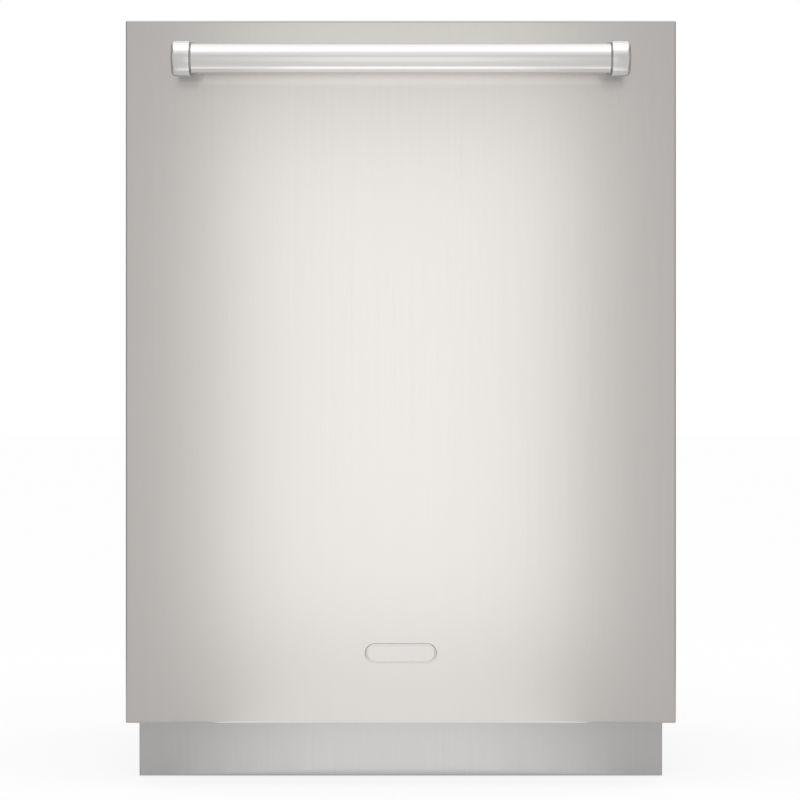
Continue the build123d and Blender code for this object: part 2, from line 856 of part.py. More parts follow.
def sump():
    """The moulded pot under the tub: its plate, the filter well, the arm's pedestal and two nozzles."""
    y = sump_centre_y
    plate = prism((0, y, basin_z - 4 - gap), (0, y, basin_z - gap), sump_radius, 8)
    well = prism((filter_x, filter_y, 84), (filter_x, filter_y, basin_z - 3), filter_radius + 8, 16)
    room = prism((filter_x, filter_y, 88), (filter_x, filter_y, basin_z + 3), filter_radius + 4, 16)
    pedestal = rod((0, y, basin_z - 3), (0, y, lower_arm_z() + arm_thickness - 1), pedestal_radius)
    collar = prism((0, y, basin_z - 3), (0, y, lower_arm_z() - gap), pedestal_radius + 5, 8)
    to_pump = block(
        (filter_x + filter_radius, pump_x - 30 - gap),
        (filter_y - 10, filter_y + 10),
        (pump_z - 10, pump_z + 10),
    )
    to_drain = block(
        (drain_x + 20 + gap, filter_x - filter_radius),
        (filter_y - 8, filter_y + 8),
        (pump_z - 12, pump_z + 4),
    )
    return plate + well + pedestal + collar + to_pump + to_drain - room


pump_x = 160.0
pump_z = 104.0
drain_x = -70.0


def fine_filter():
    """The flat stainless filter round the pedestal and the filter cup."""
    low = basin_z + gap
    disc = prism((0, sump_centre_y, low), (0, sump_centre_y, low + 1.4), sump_radius - 7, 8)
    cup = clear_prism((filter_x, filter_y, low - 1), (filter_x, filter_y, low + 3), filter_radius + gap, 16)
    pedestal = prism((0, sump_centre_y, low - 1), (0, sump_centre_y, low + 3), pedestal_radius + 5.6, 8)
    return disc - cup - pedestal


def filter_cup():
    """The lift-out cylindrical filter with slots round its wall and a grip across its top."""
    low = 92
    high = basin_z + 6
    cup = prism((filter_x, filter_y, low), (filter_x, filter_y, high - 4), filter_radius - 2, 12)
    rim = prism((filter_x, filter_y, high - 4), (filter_x, filter_y, high), filter_radius, 16)
    room = prism((filter_x, filter_y, low + 2), (filter_x, filter_y, high + 1), filter_radius - 4, 12)
    middle = Pos(filter_x, filter_y, (low + high) / 2)
    slot = Box(9, 2 * filter_radius + 4, (high - low) * 0.6)
    slots = [middle * Rot(0, 0, turn) * slot for turn in range(15, 180, 60)]
    reach = filter_radius - 5
    grip = block((filter_x - reach, filter_x + reach), (filter_y - 2, filter_y + 2), (high - 10, high + 4))
    return cup + rim - room - slots + grip


def circulation_pump():
    """The main pump: a volute on the sump's nozzle, its tangent outlet and a ribbed motor beside it."""
    z = pump_z
    volute = prism((pump_x - 30, filter_y, z), (pump_x, filter_y, z), 42, 16)
    motor = prism((pump_x - 1, filter_y, z), (pump_x + 70, filter_y, z), 34, 16)
    ribs = [
        prism((pump_x + at, filter_y, z), (pump_x + at + 4, filter_y, z), 39, 12) for at in (16, 44)
    ]
    outlet = block((pump_x - 26, pump_x - 4), (filter_y + 20, filter_y + 96), (z - 40, z - 18))
    return volute + motor + ribs + outlet


def drain_pump():
    """The small pump that empties the sump."""
    z = pump_z - 4
    chamber = prism((drain_x + 20, filter_y, z), (drain_x - 6, filter_y, z), 26, 12)
    motor = block((drain_x - 56, drain_x - 5), (filter_y - 20, filter_y + 20), (z - 22, z + 22))
    motor = chamfer(motor.edges().filter_by(Axis.X), 5)
    outlet = block((drain_x, drain_x + 14), (filter_y + 10, filter_y + 80), (z + 4, z + 18))
    return chamber + motor + outlet


def feed_tube():
    """The duct from the lower arm's pedestal, over the floor, up the back wall and along the ceiling."""
    back = tub_back_y - tub_sheet - gap
    floor_z = tub_floor_z + tub_sheet + gap
    ceiling_z = tub_top_z - tub_sheet - gap
    start = sump_centre_y + pedestal_radius + 5 + gap
    heel = tub_back_y - basin_back - basin_slope - 6
    along = block((-19, 19), (start, heel), (basin_z + 2.2, basin_z + 20))
    bend = Polyline(
        (heel - 1, basin_z + 2.2), (heel - 1, basin_z + 20), (heel + 6, floor_z + 20),
        (back - 14, floor_z + 20), (back - 14, floor_z + 1), (heel + 30, floor_z + 1),
        close=True,
    )
    rise = extrude(side_profile(-19) * make_face(bend), amount=38)
    corner = block((-19, 19), (back - 24, back - 13), (floor_z + 6, floor_z + 34))
    duct = block((-19, 19), (back - 14, back), (floor_z + 12, ceiling_z - 12))
    ceiling = block((-15, 15), (sump_centre_y - 16, back - 12), (ceiling_z - 14, ceiling_z))
    mouth_z = middle_arm_z() + arm_thickness + 11
    mouth = prism((0, back - 10, mouth_z), (0, rack_back_y + 7, mouth_z), 13, 12)
    stem = prism((0, sump_centre_y, top_arm_z() + 2), (0, sump_centre_y, ceiling_z - 5), pedestal_radius, 16)
    return along + rise + corner + duct + ceiling + mouth + stem


def inlet_valve():
    """The solenoid valve at the back, whose threaded spigot takes the supply hose."""
    x = -210
    y = ring_back_y
    body = block((x - 20, x + 20), (y + gap, y + 14), (84, 120))
    body = chamfer(body.edges().filter_by(Axis.Y), 5)
    spigot = rod((x, y + 13, 102), (x, rear_y, 102), 13.2)
    bore = prism((x, y + 6, 102), (x, rear_y + 1, 102), 9, 8)
    coil = block((x - 9, x + 9), (y + 1, y + 14), (119, 146))
    return body + spigot + coil - bore


def drain_outlet():
    """The spigot at the back that takes the drain hose."""
    x = -120
    y = ring_back_y
    flange = prism((x, y + gap, 104), (x, y + 4, 104), 19, 8)
    tube = rod((x, y + 3, 104), (x, rear_y - 1, 104), 10)
    bore = prism((x, y - 1, 104), (x, rear_y, 104), 7.5, 8)
    return flange + tube - bore


def terminal_box():
    """The junction box for the supply wires, with its round knock-out at the back."""
    x = 200
    y = ring_back_y
    box = block((x - 36, x + 36), (y + gap, y + 26), (76, 134))
    box = chamfer(box.edges().filter_by(Axis.Y), 4)
    room = block((x - 34, x + 34), (y + gap + 2, y + 24), (78, 132))
    hole = rod((x, y + 23, 105), (x, y + 28, 105), 11)
    return box - room - hole


# Racks


grid_frame = 5.0
side_cells = 4


def grille(plane, width, height, across, up):
    """A flat wire grid: a sheet with a frame and rows of rectangular gaps between the wires."""
    cell_x = (width - 2 * grid_frame + rack_wire) / across
    cell_y = (height - 2 * grid_frame + rack_wire) / up
    openings = GridLocations(cell_x, cell_y, across, up) * Rectangle(cell_x - rack_wire, cell_y - rack_wire)
    return extrude(plane * (Rectangle(width, height) - openings), amount=rack_wire)


def tine_row(plane, length, tine, count):
    """A row of upright tines on one wire."""
    step = (length - rack_wire) / (count - 1)
    tines = [Pos(step * (i - (count - 1) / 2), tine / 2) * Rectangle(rack_wire, tine) for i in range(count)]
    wire = Pos(0, rack_wire / 2) * Rectangle(length, rack_wire)
    return extrude(plane * (wire + tines), amount=rack_wire)


def rack_walls(floor_z, height, across, deep, up):
    """The five grids of a rack, which meet at its corners with a hair of room."""
    middle_y = (rack_front_y + rack_back_y) / 2
    mid_z = floor_z + rack_wire + gap + height / 2
    floor = grille(Plane(origin=(0, middle_y, floor_z)), 2 * rack_half, rack_length, across, deep)
    sides = []
    for x in (-rack_half, rack_half - rack_wire):
        plane = Plane(origin=(x, middle_y, mid_z), x_dir=(0, 1, 0), z_dir=(1, 0, 0))
        sides.append(grille(plane, rack_length, height, side_cells, up))
    ends = []
    for y in (rack_front_y, rack_back_y - rack_wire):
        plane = Plane(origin=(0, y, mid_z), x_dir=(-1, 0, 0), z_dir=(0, 1, 0))
        ends.append(grille(plane, 2 * (rack_half - rack_wire - gap), height, across, up))
    return [floor, *sides, *ends]


def wheel_places():
    """The Y of each wheel axle at rest."""
    first = rack_front_y + wheel_first
    last = rack_back_y - 30
    return [first, (first + last) / 2, last]


wheel_z = tub_floor_z + tub_sheet + gap + wheel_radius
wheel_inner_x = rack_half + 5.0


def wheel_carriers():
    """The clips under the rack's edges with the pins that the wheels turn on."""
    carriers = []
    for side in (-1, 1):
        for y in wheel_places():
            near = side * (rack_half + gap)
            far = side * (rack_half + 3.6)
            clip = block(sorted((near, far)), (y - 9, y + 9), (wheel_z - 8, lower_rack_z + 30))
            tip = side * (wheel_inner_x + wheel_width + 1)
            pin = prism((side * (rack_half + 3), y, wheel_z), (tip, y, wheel_z), wheel_pin_radius, 8)
            carriers.append(clip + pin)
    return carriers


def wheel_pair(y):
    """The left and right wheels of one axle line, with their bores."""
    wheels = []
    for side in (-1, 1):
        inner = side * wheel_inner_x
        outer = side * (wheel_inner_x + wheel_width)
        wheel = prism((inner, y, wheel_z), (outer, y, wheel_z), wheel_radius, 20)
        reach = ((inner - side, y, wheel_z), (outer + side, y, wheel_z))
        wheels.append(wheel - clear_prism(*reach, wheel_pin_radius + running, 12))
    return wheels


plate_row_count = 12
plate_rows_x = (-205.0, -130.0)
fold_row_x = -55.0
basket_width = 92.0
basket_height = 98.0
basket_cells = 4


def basket_span():
    """The low and high X of the cutlery basket, which stands along the right side."""
    high = rack_half - rack_wire - 4
    return high - basket_width, high


def lower_rack():
    """The lower rack: five grids, plate tines, wheel clips and the front grip."""
    walls = rack_walls(lower_rack_z, lower_rack_height, 7, 3, 1)
    floor_top = lower_rack_z + rack_wire + gap
    middle_y = (rack_front_y + rack_back_y) / 2
    rows = []
    for x in plate_rows_x:
        plane = Plane(origin=(x, middle_y, floor_top), x_dir=(0, 1, 0), z_dir=(1, 0, 0))
        rows.append(tine_row(plane, rack_length - 60, tine_height, plate_row_count))
    grip_z = lower_rack_z + lower_rack_height + rack_wire + 2 * gap
    grip = block((-90, 90), (rack_front_y - 3, rack_front_y + 9), (grip_z, grip_z + 14))
    grip = chamfer(grip.edges().filter_by(Axis.X), 4)
    return [*walls, *rows, *wheel_carriers(), grip]


def fold_tines():
    """The folding row of tines, with the round ends of the wire that it turns on."""
    middle_y = (rack_front_y + rack_back_y) / 2
    low = fold_axis_z() - rack_wire / 2
    plane = Plane(origin=(fold_row_x - rack_wire / 2, middle_y, low), x_dir=(0, 1, 0), z_dir=(1, 0, 0))
    length = rack_length - 60
    row = tine_row(plane, length, tine_height, plate_row_count)
    reach = rack_length / 2 - rack_wire - gap
    ends = [
        prism(
            (fold_row_x, middle_y + side * (length / 2 - 1), fold_axis_z()),
            (fold_row_x, middle_y + side * reach, fold_axis_z()),
            rack_wire / 2,
            8,
        )
        for side in (-1, 1)
    ]
    return row + ends


def fold_axis_z():
    """The height of the folding row's axle: its square wire turns just clear of the rack's floor."""
    return lower_rack_z + rack_wire + gap + rack_wire * 0.71


def cutlery_basket():
    """The long basket: slotted walls and three dividers."""
    low_x, high_x = basket_span()
    low_y = rack_front_y + 14
    high_y = rack_back_y - 14
    low_z = lower_rack_z + rack_wire + gap
    body = block((low_x, high_x), (low_y, high_y), (low_z, low_z + basket_height))
    body = chamfer(body.edges().filter_by(Axis.Z), 2)
    rooms = []
    step = (high_y - low_y - 4) / basket_cells
    room_z = (low_z + 2, low_z + basket_height + 1)
    for i in range(basket_cells):
        room_y = low_y + 3 + i * step
        rooms.append(block((low_x + 2, high_x - 2), (room_y, room_y + step - 2), room_z))
    slots = []
    slot_step = (high_y - low_y - 40) / 7
    for i in range(8):
        y = low_y + 20 + i * slot_step
        slot_z = (low_z + 14, low_z + basket_height - 34)
        slots.append(block((low_x - 1, high_x + 1), (y - 11, y + 11), slot_z))
    return body - rooms - slots


def upper_rack():
    """The upper rack: five grids, tines, runners for the rails, and the duct to its spray arm."""
    walls = rack_walls(upper_rack_z, upper_rack_height, 7, 3, 1)
    floor_top = upper_rack_z + rack_wire + gap
    middle_y = (rack_front_y + rack_back_y) / 2
    rows = []
    for x in (-96.0, 96.0):
        plane = Plane(origin=(x - rack_wire / 2, middle_y, floor_top), x_dir=(0, 1, 0), z_dir=(1, 0, 0))
        rows.append(tine_row(plane, rack_length - 50, 46, 9))
    duct_z = middle_arm_z() + arm_thickness + 11
    top = upper_rack_z - gap
    duct = block((-12, 12), (sump_centre_y - 14, rack_back_y + 3), (duct_z - 7, duct_z + 7))
    duct = chamfer(duct.edges().filter_by(Axis.Y), 4)
    stem = prism((0, sump_centre_y, middle_arm_z() + 1), (0, sump_centre_y, duct_z), pedestal_radius, 16)
    clip = block((-5, 5), (middle_y + 60, middle_y + 70), (duct_z, top))
    grip_z = upper_rack_z + upper_rack_height + rack_wire + 2 * gap
    grip = block((-90, 90), (rack_front_y - 3, rack_front_y + 9), (grip_z, grip_z + 14))
    grip = chamfer(grip.edges().filter_by(Axis.X), 4)
    return [*walls, *rows, duct + stem + clip, grip, *[runner(side) for side in (-1, 1)]]


def lower_arm_z():
    return tub_floor_z + 8.0


def middle_arm_z():
    return upper_rack_z - 33.0


def top_arm_z():
    return tub_top_z - tub_sheet - 30.0


rail_outer_x = tub_inner - gap
rail_web_x = rail_outer_x - rail_sheet
middle_outer_x = rail_web_x - rail_clearance
middle_inner_x = middle_outer_x - 12.2
runner_web_x = middle_inner_x - rail_clearance - rail_sheet
lip_split_x = (middle_outer_x + middle_inner_x) / 2


def rail_channel(web, lips, y):
    """A channel whose web spans these X values and whose lips reach to the given X span."""
    half = rail_height / 2
    back = block(web, y, (rail_z - half, rail_z + half))
    top = block(lips, y, (rail_z + half - rail_sheet, rail_z + half))
    low = block(lips, y, (rail_z - half, rail_z - half + rail_sheet))
    return back + top + low


def upper_rail(side):
    """The fixed channel on the tub's wall."""
    lips = (lip_split_x + rail_clearance / 2, rail_web_x + 0.5)
    rail = rail_channel((rail_web_x, rail_outer_x), lips, (rail_front_y, rail_back_y))
    return rail if side > 0 else mirrored(rail)


def middle_rail(side):
    """The hollow bar that slides between the fixed channel and the rack's runner."""
    half = rail_height / 2 - rail_sheet - rail_clearance
    bar = block((middle_inner_x, middle_outer_x), (rail_front_y, rail_back_y), (rail_z - half, rail_z + half))
    groove = block(
        (middle_inner_x + rail_sheet, middle_outer_x - rail_sheet),
        (rail_front_y - 1, rail_back_y + 1),
        (rail_z - half + rail_sheet, rail_z + half - rail_sheet),
    )
    bar -= groove
    return bar if side > 0 else mirrored(bar)


def runner(side):
    """The channel on the rack's side that rides on the middle rail."""
    rail = rail_channel(
        (runner_web_x, runner_web_x + rail_sheet),
        (runner_web_x + 0.5, lip_split_x - rail_clearance / 2),
        (rack_front_y + 2, rack_back_y - 2),
    )
    middle_y = (rack_front_y + rack_back_y) / 2
    wire_step = (rack_length - 2 * grid_frame + rack_wire) / side_cells
    for y in (middle_y - wire_step, middle_y + wire_step):
        rail += block((rack_half + gap, runner_web_x + 0.5), (y - 15, y + 15), (rail_z - 8, rail_z + 8))
    return rail if side > 0 else mirrored(rail)


# Spray arms


def spray_arm(radius, low_z, hub_up):
    """A flat arm with round tips and a bevelled top, a hub with its bore and slanted jet slots."""
    y = sump_centre_y
    tip = Pos(radius - arm_tip_radius, 0) * RegularPolygon(arm_tip_radius, 16)
    ends = RegularPolygon(arm_hub_radius, 20) + tip
    half = make_hull(ends.edges())
    outline = half + mirror(half, about=Plane.YZ)
    arm = extrude(Plane(origin=(0, y, low_z)) * outline, amount=arm_thickness)
    arm = chamfer(arm.faces().sort_by(Axis.Z)[-1].edges(), 3)
    top = low_z + arm_thickness + hub_up
    hub = prism((0, y, low_z), (0, y, top), arm_hub_radius - 6, 12)
    jets = [
        Pos(side * radius * share, y + side * 4, low_z + arm_thickness) * Rot(0, 0, 35) * Box(9, 2.6, 3)
        for share in (0.42, 0.76)
        for side in (-1, 1)
    ]
    bore = clear_prism((0, y, low_z - 1), (0, y, top + 1), hub_bore_radius, 16)
    return arm + hub - jets - bore


def air_break():
    """The flat water chamber between the tub and the left side."""
    outer = -(tub_half + gap)
    low = tub_floor_z + 130
    high = tub_floor_z + 430
    body = block((outer - 12, outer), (tub_centre_y - 90, tub_centre_y + 90), (low, high))
    body = chamfer(body.edges().filter_by(Axis.X), 16)
    ribs = [
        block((outer - 14, outer - 11), (tub_centre_y + at - 3, tub_centre_y + at + 3), (low + 20, high - 30))
        for at in (-60, -20, 20, 60)
    ]
    return body + ribs


def main():
    os.makedirs("parts", exist_ok=True)
    write("door_panel", door_panel())
    write("handle_bar", handle_bar())
    write("handle_ends", handle_end(-1), handle_end(1))
    write("handle_screws", *handle_screws())
    write("badge_plate", badge_plate())
    write("door_shell", door_shell())
    write("inner_liner", inner_liner())
    write("door_insulation", door_insulation())
    write("control_strip", control_strip())
    for name, x in button_places.items():
        write(name, push_button(x))
    write("latch_hook", latch_hook())
    write("dispenser_housing", dispenser_housing())
    write("dispenser_lid", dispenser_lid())
    write("rinse_aid_cap", rinse_aid_cap())
    write("door_seal", door_seal())
    write("tub", tub())
    write("tub_floor", tub_floor())
    write("tub_gasket", tub_gasket())
    write("tub_blanket", tub_blanket())
    write("top_frame", top_frame())
    write("countertop_brackets", *countertop_brackets())
    write("base_pan", base_pan())
    write("kick_panel", kick_panel())
    for name, places in foot_places.items():
        write(name, *[levelling_foot(x, depth) for x, depth in places])
    write("sump", sump())
    write("fine_filter", fine_filter())
    write("filter_cup", filter_cup())
    write("circulation_pump", circulation_pump())
    write("drain_pump", drain_pump())
    write("feed_tube", feed_tube())
    write("inlet_valve", inlet_valve())
    write("drain_outlet", drain_outlet())
    write("terminal_box", terminal_box())
    write("air_break", air_break())
    for side, word in ((-1, "left"), (1, "right")):
        write(f"hinge_arm_{word}", hinge_arm(side))
        write(f"hinge_bracket_{word}", hinge_bracket(side))
        write(f"door_spring_{word}", door_spring(side))
        write(f"side_panel_{word}", side_panel(side))
        write(f"upper_rail_{word}", upper_rail(side))
        write(f"middle_rail_{word}", middle_rail(side))
    write("lower_rack", *lower_rack())
    write("fold_tines", fold_tines())
    write("cutlery_basket", cutlery_basket())
    for i, y in enumerate(wheel_places()):
        write(f"rack_wheels_{i + 1}", *wheel_pair(y))
    write("upper_rack", *upper_rack())
    write("lower_spray_arm", spray_arm(lower_arm_radius, lower_arm_z(), 2))
    write("middle_spray_arm", spray_arm(middle_arm_radius, middle_arm_z(), 3))
    write("top_spray_arm", spray_arm(top_arm_radius, top_arm_z(), 3))


main()
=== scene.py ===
"""The looks of a panel-ready dishwasher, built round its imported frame.

Lengths are in millimetres, in the frame's own axes: +X right, +Y back, +Z up. Only the studio's are in metres.
"""

from __future__ import annotations

import logging
from dataclasses import dataclass
from enum import Enum
from functools import cache, reduce
from typing import Iterable

import bmesh
import bpy
import numpy as np
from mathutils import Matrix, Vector


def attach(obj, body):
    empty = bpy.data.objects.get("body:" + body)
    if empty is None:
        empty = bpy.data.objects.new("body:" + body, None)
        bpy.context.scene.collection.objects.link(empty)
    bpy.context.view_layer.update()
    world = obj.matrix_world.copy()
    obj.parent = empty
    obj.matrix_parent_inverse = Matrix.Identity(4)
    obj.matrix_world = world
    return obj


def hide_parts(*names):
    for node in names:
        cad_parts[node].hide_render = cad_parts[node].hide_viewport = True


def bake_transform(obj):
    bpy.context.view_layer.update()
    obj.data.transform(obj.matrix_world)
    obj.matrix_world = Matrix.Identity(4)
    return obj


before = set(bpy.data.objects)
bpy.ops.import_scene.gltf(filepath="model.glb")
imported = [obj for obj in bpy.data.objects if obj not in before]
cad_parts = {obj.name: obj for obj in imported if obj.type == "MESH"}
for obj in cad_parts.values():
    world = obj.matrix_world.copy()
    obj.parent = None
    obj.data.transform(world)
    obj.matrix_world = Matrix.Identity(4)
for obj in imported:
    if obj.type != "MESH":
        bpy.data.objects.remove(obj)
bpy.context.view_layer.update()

log = logging.getLogger("dishwasher")
MM = 0.001
TURN = 2 * np.pi
WELD_M = 2e-6

Point = tuple[float, float, float]
Pair = tuple[float, float]
Node = bpy.types.Node
Tree = bpy.types.NodeTree


# Surfaces


@dataclass
class Surface:
    """Points in millimetres with faces, kept as one array for each number of corners."""

    points: np.ndarray
    faces: list[np.ndarray]

    def __add__(self, other: Surface) -> Surface:
        """Both surfaces as one, the other's corners counted on from these."""
        shift = len(self.points)
        return Surface(np.vstack([self.points, other.points]), [*self.faces, *(each + shift for each in other.faces)])

    def repeated(self, shifts: np.ndarray) -> Surface:
        """Copies of the surface as one.

        Args:
            shifts: How far each copy is moved, as (n, 3).

        Returns:
            One surface with all the copies.
        """
        base = np.arange(len(shifts))[:, None, None] * len(self.points)
        points = (self.points + shifts[:, None]).reshape(-1, 3)
        return Surface(points, [(each + base).reshape(-1, each.shape[1]) for each in self.faces])

    def swung(self, degrees: float, centre: tuple, axis: str = "z") -> Surface:
        """The same surface, turned about an axis through a point.

        Args:
            degrees: The turn, by the right-hand rule.
            centre: A point on the axis.
            axis: "x", "y" or "z".

        Returns:
            The turned surface.
        """
        cosine, sine = np.cos(np.radians(degrees)), np.sin(np.radians(degrees))
        turn = np.array([[cosine, sine, 0], [-sine, cosine, 0], [0, 0, 1]])
        basis = frame_of(axis)
        return Surface((self.points - centre) @ basis.T @ turn @ basis + centre, self.faces)

    def mirrored(self) -> Surface:
        """The same surface on the other side of the middle, its faces turned to point outwards."""
        return Surface(self.points * (-1.0, 1.0, 1.0), [each[:, ::-1] for each in self.faces])

    def paired(self) -> Surface:
        """The surface and its mirror image."""
        return self + self.mirrored()


def joined(surfaces: Iterable[Surface]) -> Surface:
    """Many surfaces as one."""
    return reduce(Surface.__add__, surfaces)


def skin(rows: np.ndarray, around: bool = True, caps: bool = True) -> Surface:
    """Quads between the rows of a grid of points: row i, column j meets row i + 1, column j + 1.

    Args:
        rows: Points as (rows, columns, 3).
        around: Whether the last column meets the first.
        caps: Whether the first and last rows are closed with one face each.

    Returns:
        The skinned surface.
    """
    count, width = rows.shape[:2]
    i, j = np.meshgrid(np.arange(count - 1), np.arange(width if around else width - 1), indexing="ij")
    near = (i * width + j).ravel()
    far = (i * width + (j + 1) % width).ravel()
    faces = [np.stack([near, far, far + width, near + width], axis=1)]
    if caps and around:
        ring = np.arange(width)
        faces.append(np.stack([ring[::-1], ring + (count - 1) * width]))
    return Surface(rows.reshape(-1, 3).astype(float), faces)


def points_at(x: float | np.ndarray, y: float | np.ndarray, z: float | np.ndarray) -> np.ndarray:
    """Points as (..., 3), from coordinates that are numbers or arrays."""
    return np.stack(np.broadcast_arrays(x, y, z), axis=-1).astype(float)


def unit(vectors: np.ndarray) -> np.ndarray:
    """The same directions with length 1."""
    return vectors / np.linalg.norm(vectors, axis=-1, keepdims=True)


def circles(side: np.ndarray, normal: np.ndarray, sides: int) -> np.ndarray:
    """Points round unit circles: cos a * side + sin a * normal, as (..., sides, 3)."""
    turn = np.arange(sides)[:, None] * TURN / sides
    return np.cos(turn) * side[..., None, :] + np.sin(turn) * normal[..., None, :]


def quarter_round(radius: float, steps: int) -> tuple[np.ndarray, np.ndarray]:
    """A rounded edge from the face on: how far in, r (1 - sin a), and how far along, r (1 - cos a)."""
    angle = np.linspace(0, np.pi / 2, steps + 1)
    return radius * (1 - np.sin(angle)), radius * (1 - np.cos(angle))


def frame_of(axis: str) -> np.ndarray:
    """The three directions of a piece that runs along "x", "y" or "z": first, second and running, right-handed."""
    return np.eye(3)[(np.arange(3) + "zxy".index(axis)) % 3]


def rounded_rectangle(width: float, height: float, radius: float, steps: int = 6) -> np.ndarray:
    """A rectangle whose corners are quarter circles: centre of the corner + radius * (cos a, sin a).

    Args:
        width: Size along the first axis.
        height: Size along the second axis.
        radius: Corner radius.
        steps: Points in each corner, less one.

    Returns:
        Points as (n, 2), anticlockwise.
    """
    radius = max(min(radius, width / 2, height / 2), 1e-4)
    turn = np.arange(4)[:, None] * np.pi / 2 + np.linspace(0, np.pi / 2, steps + 1)
    signs = np.array([(1, 1), (-1, 1), (-1, -1), (1, -1)])[:, None, :]
    corners = signs * (width / 2 - radius, height / 2 - radius)
    return (corners + radius * np.stack([np.cos(turn), np.sin(turn)], axis=-1)).reshape(-1, 2)


def lofted(
    width: np.ndarray,
    height: np.ndarray,
    radius: float | np.ndarray,
    places: np.ndarray,
    centre: tuple,
    axis: str,
    steps: int = 6,
) -> np.ndarray:
    """Rounded rectangles one after the other along an axis.

    Args:
        width: Their sizes along the axis's first direction.
        height: Their sizes along its second direction.
        radius: Their corner radii.
        places: Where they are along the axis, from the centre.
        centre: The point that they are centred on.
        axis: "x", "y" or "z". Along "y" the width is upright.
        steps: Points in each corner, less one.

    Returns:
        Points as (rectangles, points, 3).
    """
    first, second, run = frame_of(axis)
    rows = []
    for wide, tall, soft, place in np.broadcast(width, height, radius, places):
        outline = rounded_rectangle(wide, tall, soft, steps)
        rows.append(outline[:, :1] * first + outline[:, 1:] * second + place * run + centre)
    return np.array(rows)


def block(low: tuple, high: tuple, edge: float = 1.0, corner: float = 1.0, along: str = "z", steps: int = 3) -> Surface:
    """A box with rounded edges: rounded rectangles that shrink by edge * (1 - sin a) over each end.

    A last ring in each end's plane keeps the flat end's shading flat.

    Args:
        low: Lowest corner.
        high: Highest corner.
        edge: Radius of the edges round the two ends.
        corner: Radius of the four edges along the box.
        along: The axis that the rectangles are stacked along.
        steps: Rows in each rounded end.

    Returns:
        The closed surface.
    """
    wide, tall, length = frame_of(along) @ np.subtract(high, low)
    edge = min(edge, wide / 2.01, tall / 2.01, length / 2.01)
    soft, rise = quarter_round(edge, steps)
    flat = [min(edge * 1.4, wide / 2.01, tall / 2.01)]
    inset = np.concatenate([flat, soft, soft[::-1], flat])
    place = np.concatenate([[0.0], rise, length - rise[::-1], [length]]) - length / 2
    middle = np.add(low, high) / 2
    return skin(lofted(wide - 2 * inset, tall - 2 * inset, max(corner, edge) - inset, place, middle, along))


def turned(profile: Iterable[Pair], centre: tuple, axis: str, sides: int = 48, ring: bool = False) -> Surface:
    """A turned piece: each (radius, place) of the profile goes once round the axis.

    Args:
        profile: Radius and place along the axis, from one end to the other.
        centre: A point on the axis, where place is 0.
        axis: "x", "y" or "z".
        sides: Points round the axis.
        ring: Whether the profile closes on itself, as a ring's does.

    Returns:
        The surface, closed at both ends or on itself.
    """
    first, second, run = frame_of(axis)
    line = np.array([*profile, profile[0]] if ring else profile, float)[:, :, None, None]
    return skin(line[:, 0] * circles(first, second, sides) + line[:, 1] * run + centre, caps=not ring)


def rounded_path(points: Iterable[tuple], radius: float, closed: bool = False, steps: int = 5) -> np.ndarray:
    """A line whose corners are rounded: (1 - t)^2 A + 2 t (1 - t) B + t^2 C round each corner B.

    Args:
        points: The corners of the line.
        radius: How far from a corner the bend starts.
        closed: Whether the last point meets the first.
        steps: Points round a corner, less one.

    Returns:
        The points of the rounded line.
    """
    line = np.array(points, float)
    t = np.linspace(0, 1, steps + 1)[None, :, None]
    ends = []
    for shift in (1, -1):
        way = np.roll(line, shift, axis=0) - line
        far = np.linalg.norm(way, axis=1, keepdims=True)
        ends.append((line + way / far * np.minimum(radius, far * 0.49))[:, None])
    bends = (1 - t) ** 2 * ends[0] + 2 * t * (1 - t) * line[:, None] + t**2 * ends[1]
    if closed:
        return bends.reshape(-1, line.shape[1])
    return np.vstack([line[:1], bends[1:-1].reshape(-1, line.shape[1]), line[-1:]])


def tube(path: np.ndarray, radius: float, up: tuple, sides: int = 8, closed: bool = False) -> Surface:
    """A round wire along a line: point + radius * (cos a * side + sin a * normal), square to the line.

    Args:
        path: Points of the line.
        radius: Radius of the wire.
        up: A direction that the line never runs along.
        sides: Points round the wire.
        closed: Whether the line is a ring.

    Returns:
        The surface of the wire, with flat ends if the line is open.
    """
    ahead = np.roll(path, -1, axis=0) - path
    behind = path - np.roll(path, 1, axis=0)
    if not closed:
        ahead[-1], behind[0] = behind[-1], ahead[0]
    way = unit(unit(ahead) + unit(behind))
    side = unit(np.cross(way, up))
    rows = path[:, None] + radius * circles(side, np.cross(side, way), sides)
    return skin(np.concatenate([rows, rows[:1]]) if closed else rows, caps=not closed)


def extruded(outline: np.ndarray, axis: str, low: float, high: float, edge: float = 0.0) -> Surface:
    """A straight piece with one outline: its two end rows are pulled in to the middle by the edge's width.

    Args:
        outline: Points on the two axes that follow the running one, as (n, 2).
        axis: The way that the piece runs.
        low: Where it starts.
        high: Where it ends.
        edge: Width of the bevel at both ends.

    Returns:
        The closed surface.
    """
    first, second, run = frame_of(axis)
    middle = outline.mean(axis=0)
    small = middle + (outline - middle) * (1 - edge / np.abs(outline - middle).max())
    places = ((low, small), (low + edge, outline), (high - edge, outline), (high, small))
    return skin(np.array([shape[:, :1] * first + shape[:, 1:] * second + place * run for place, shape in places]))


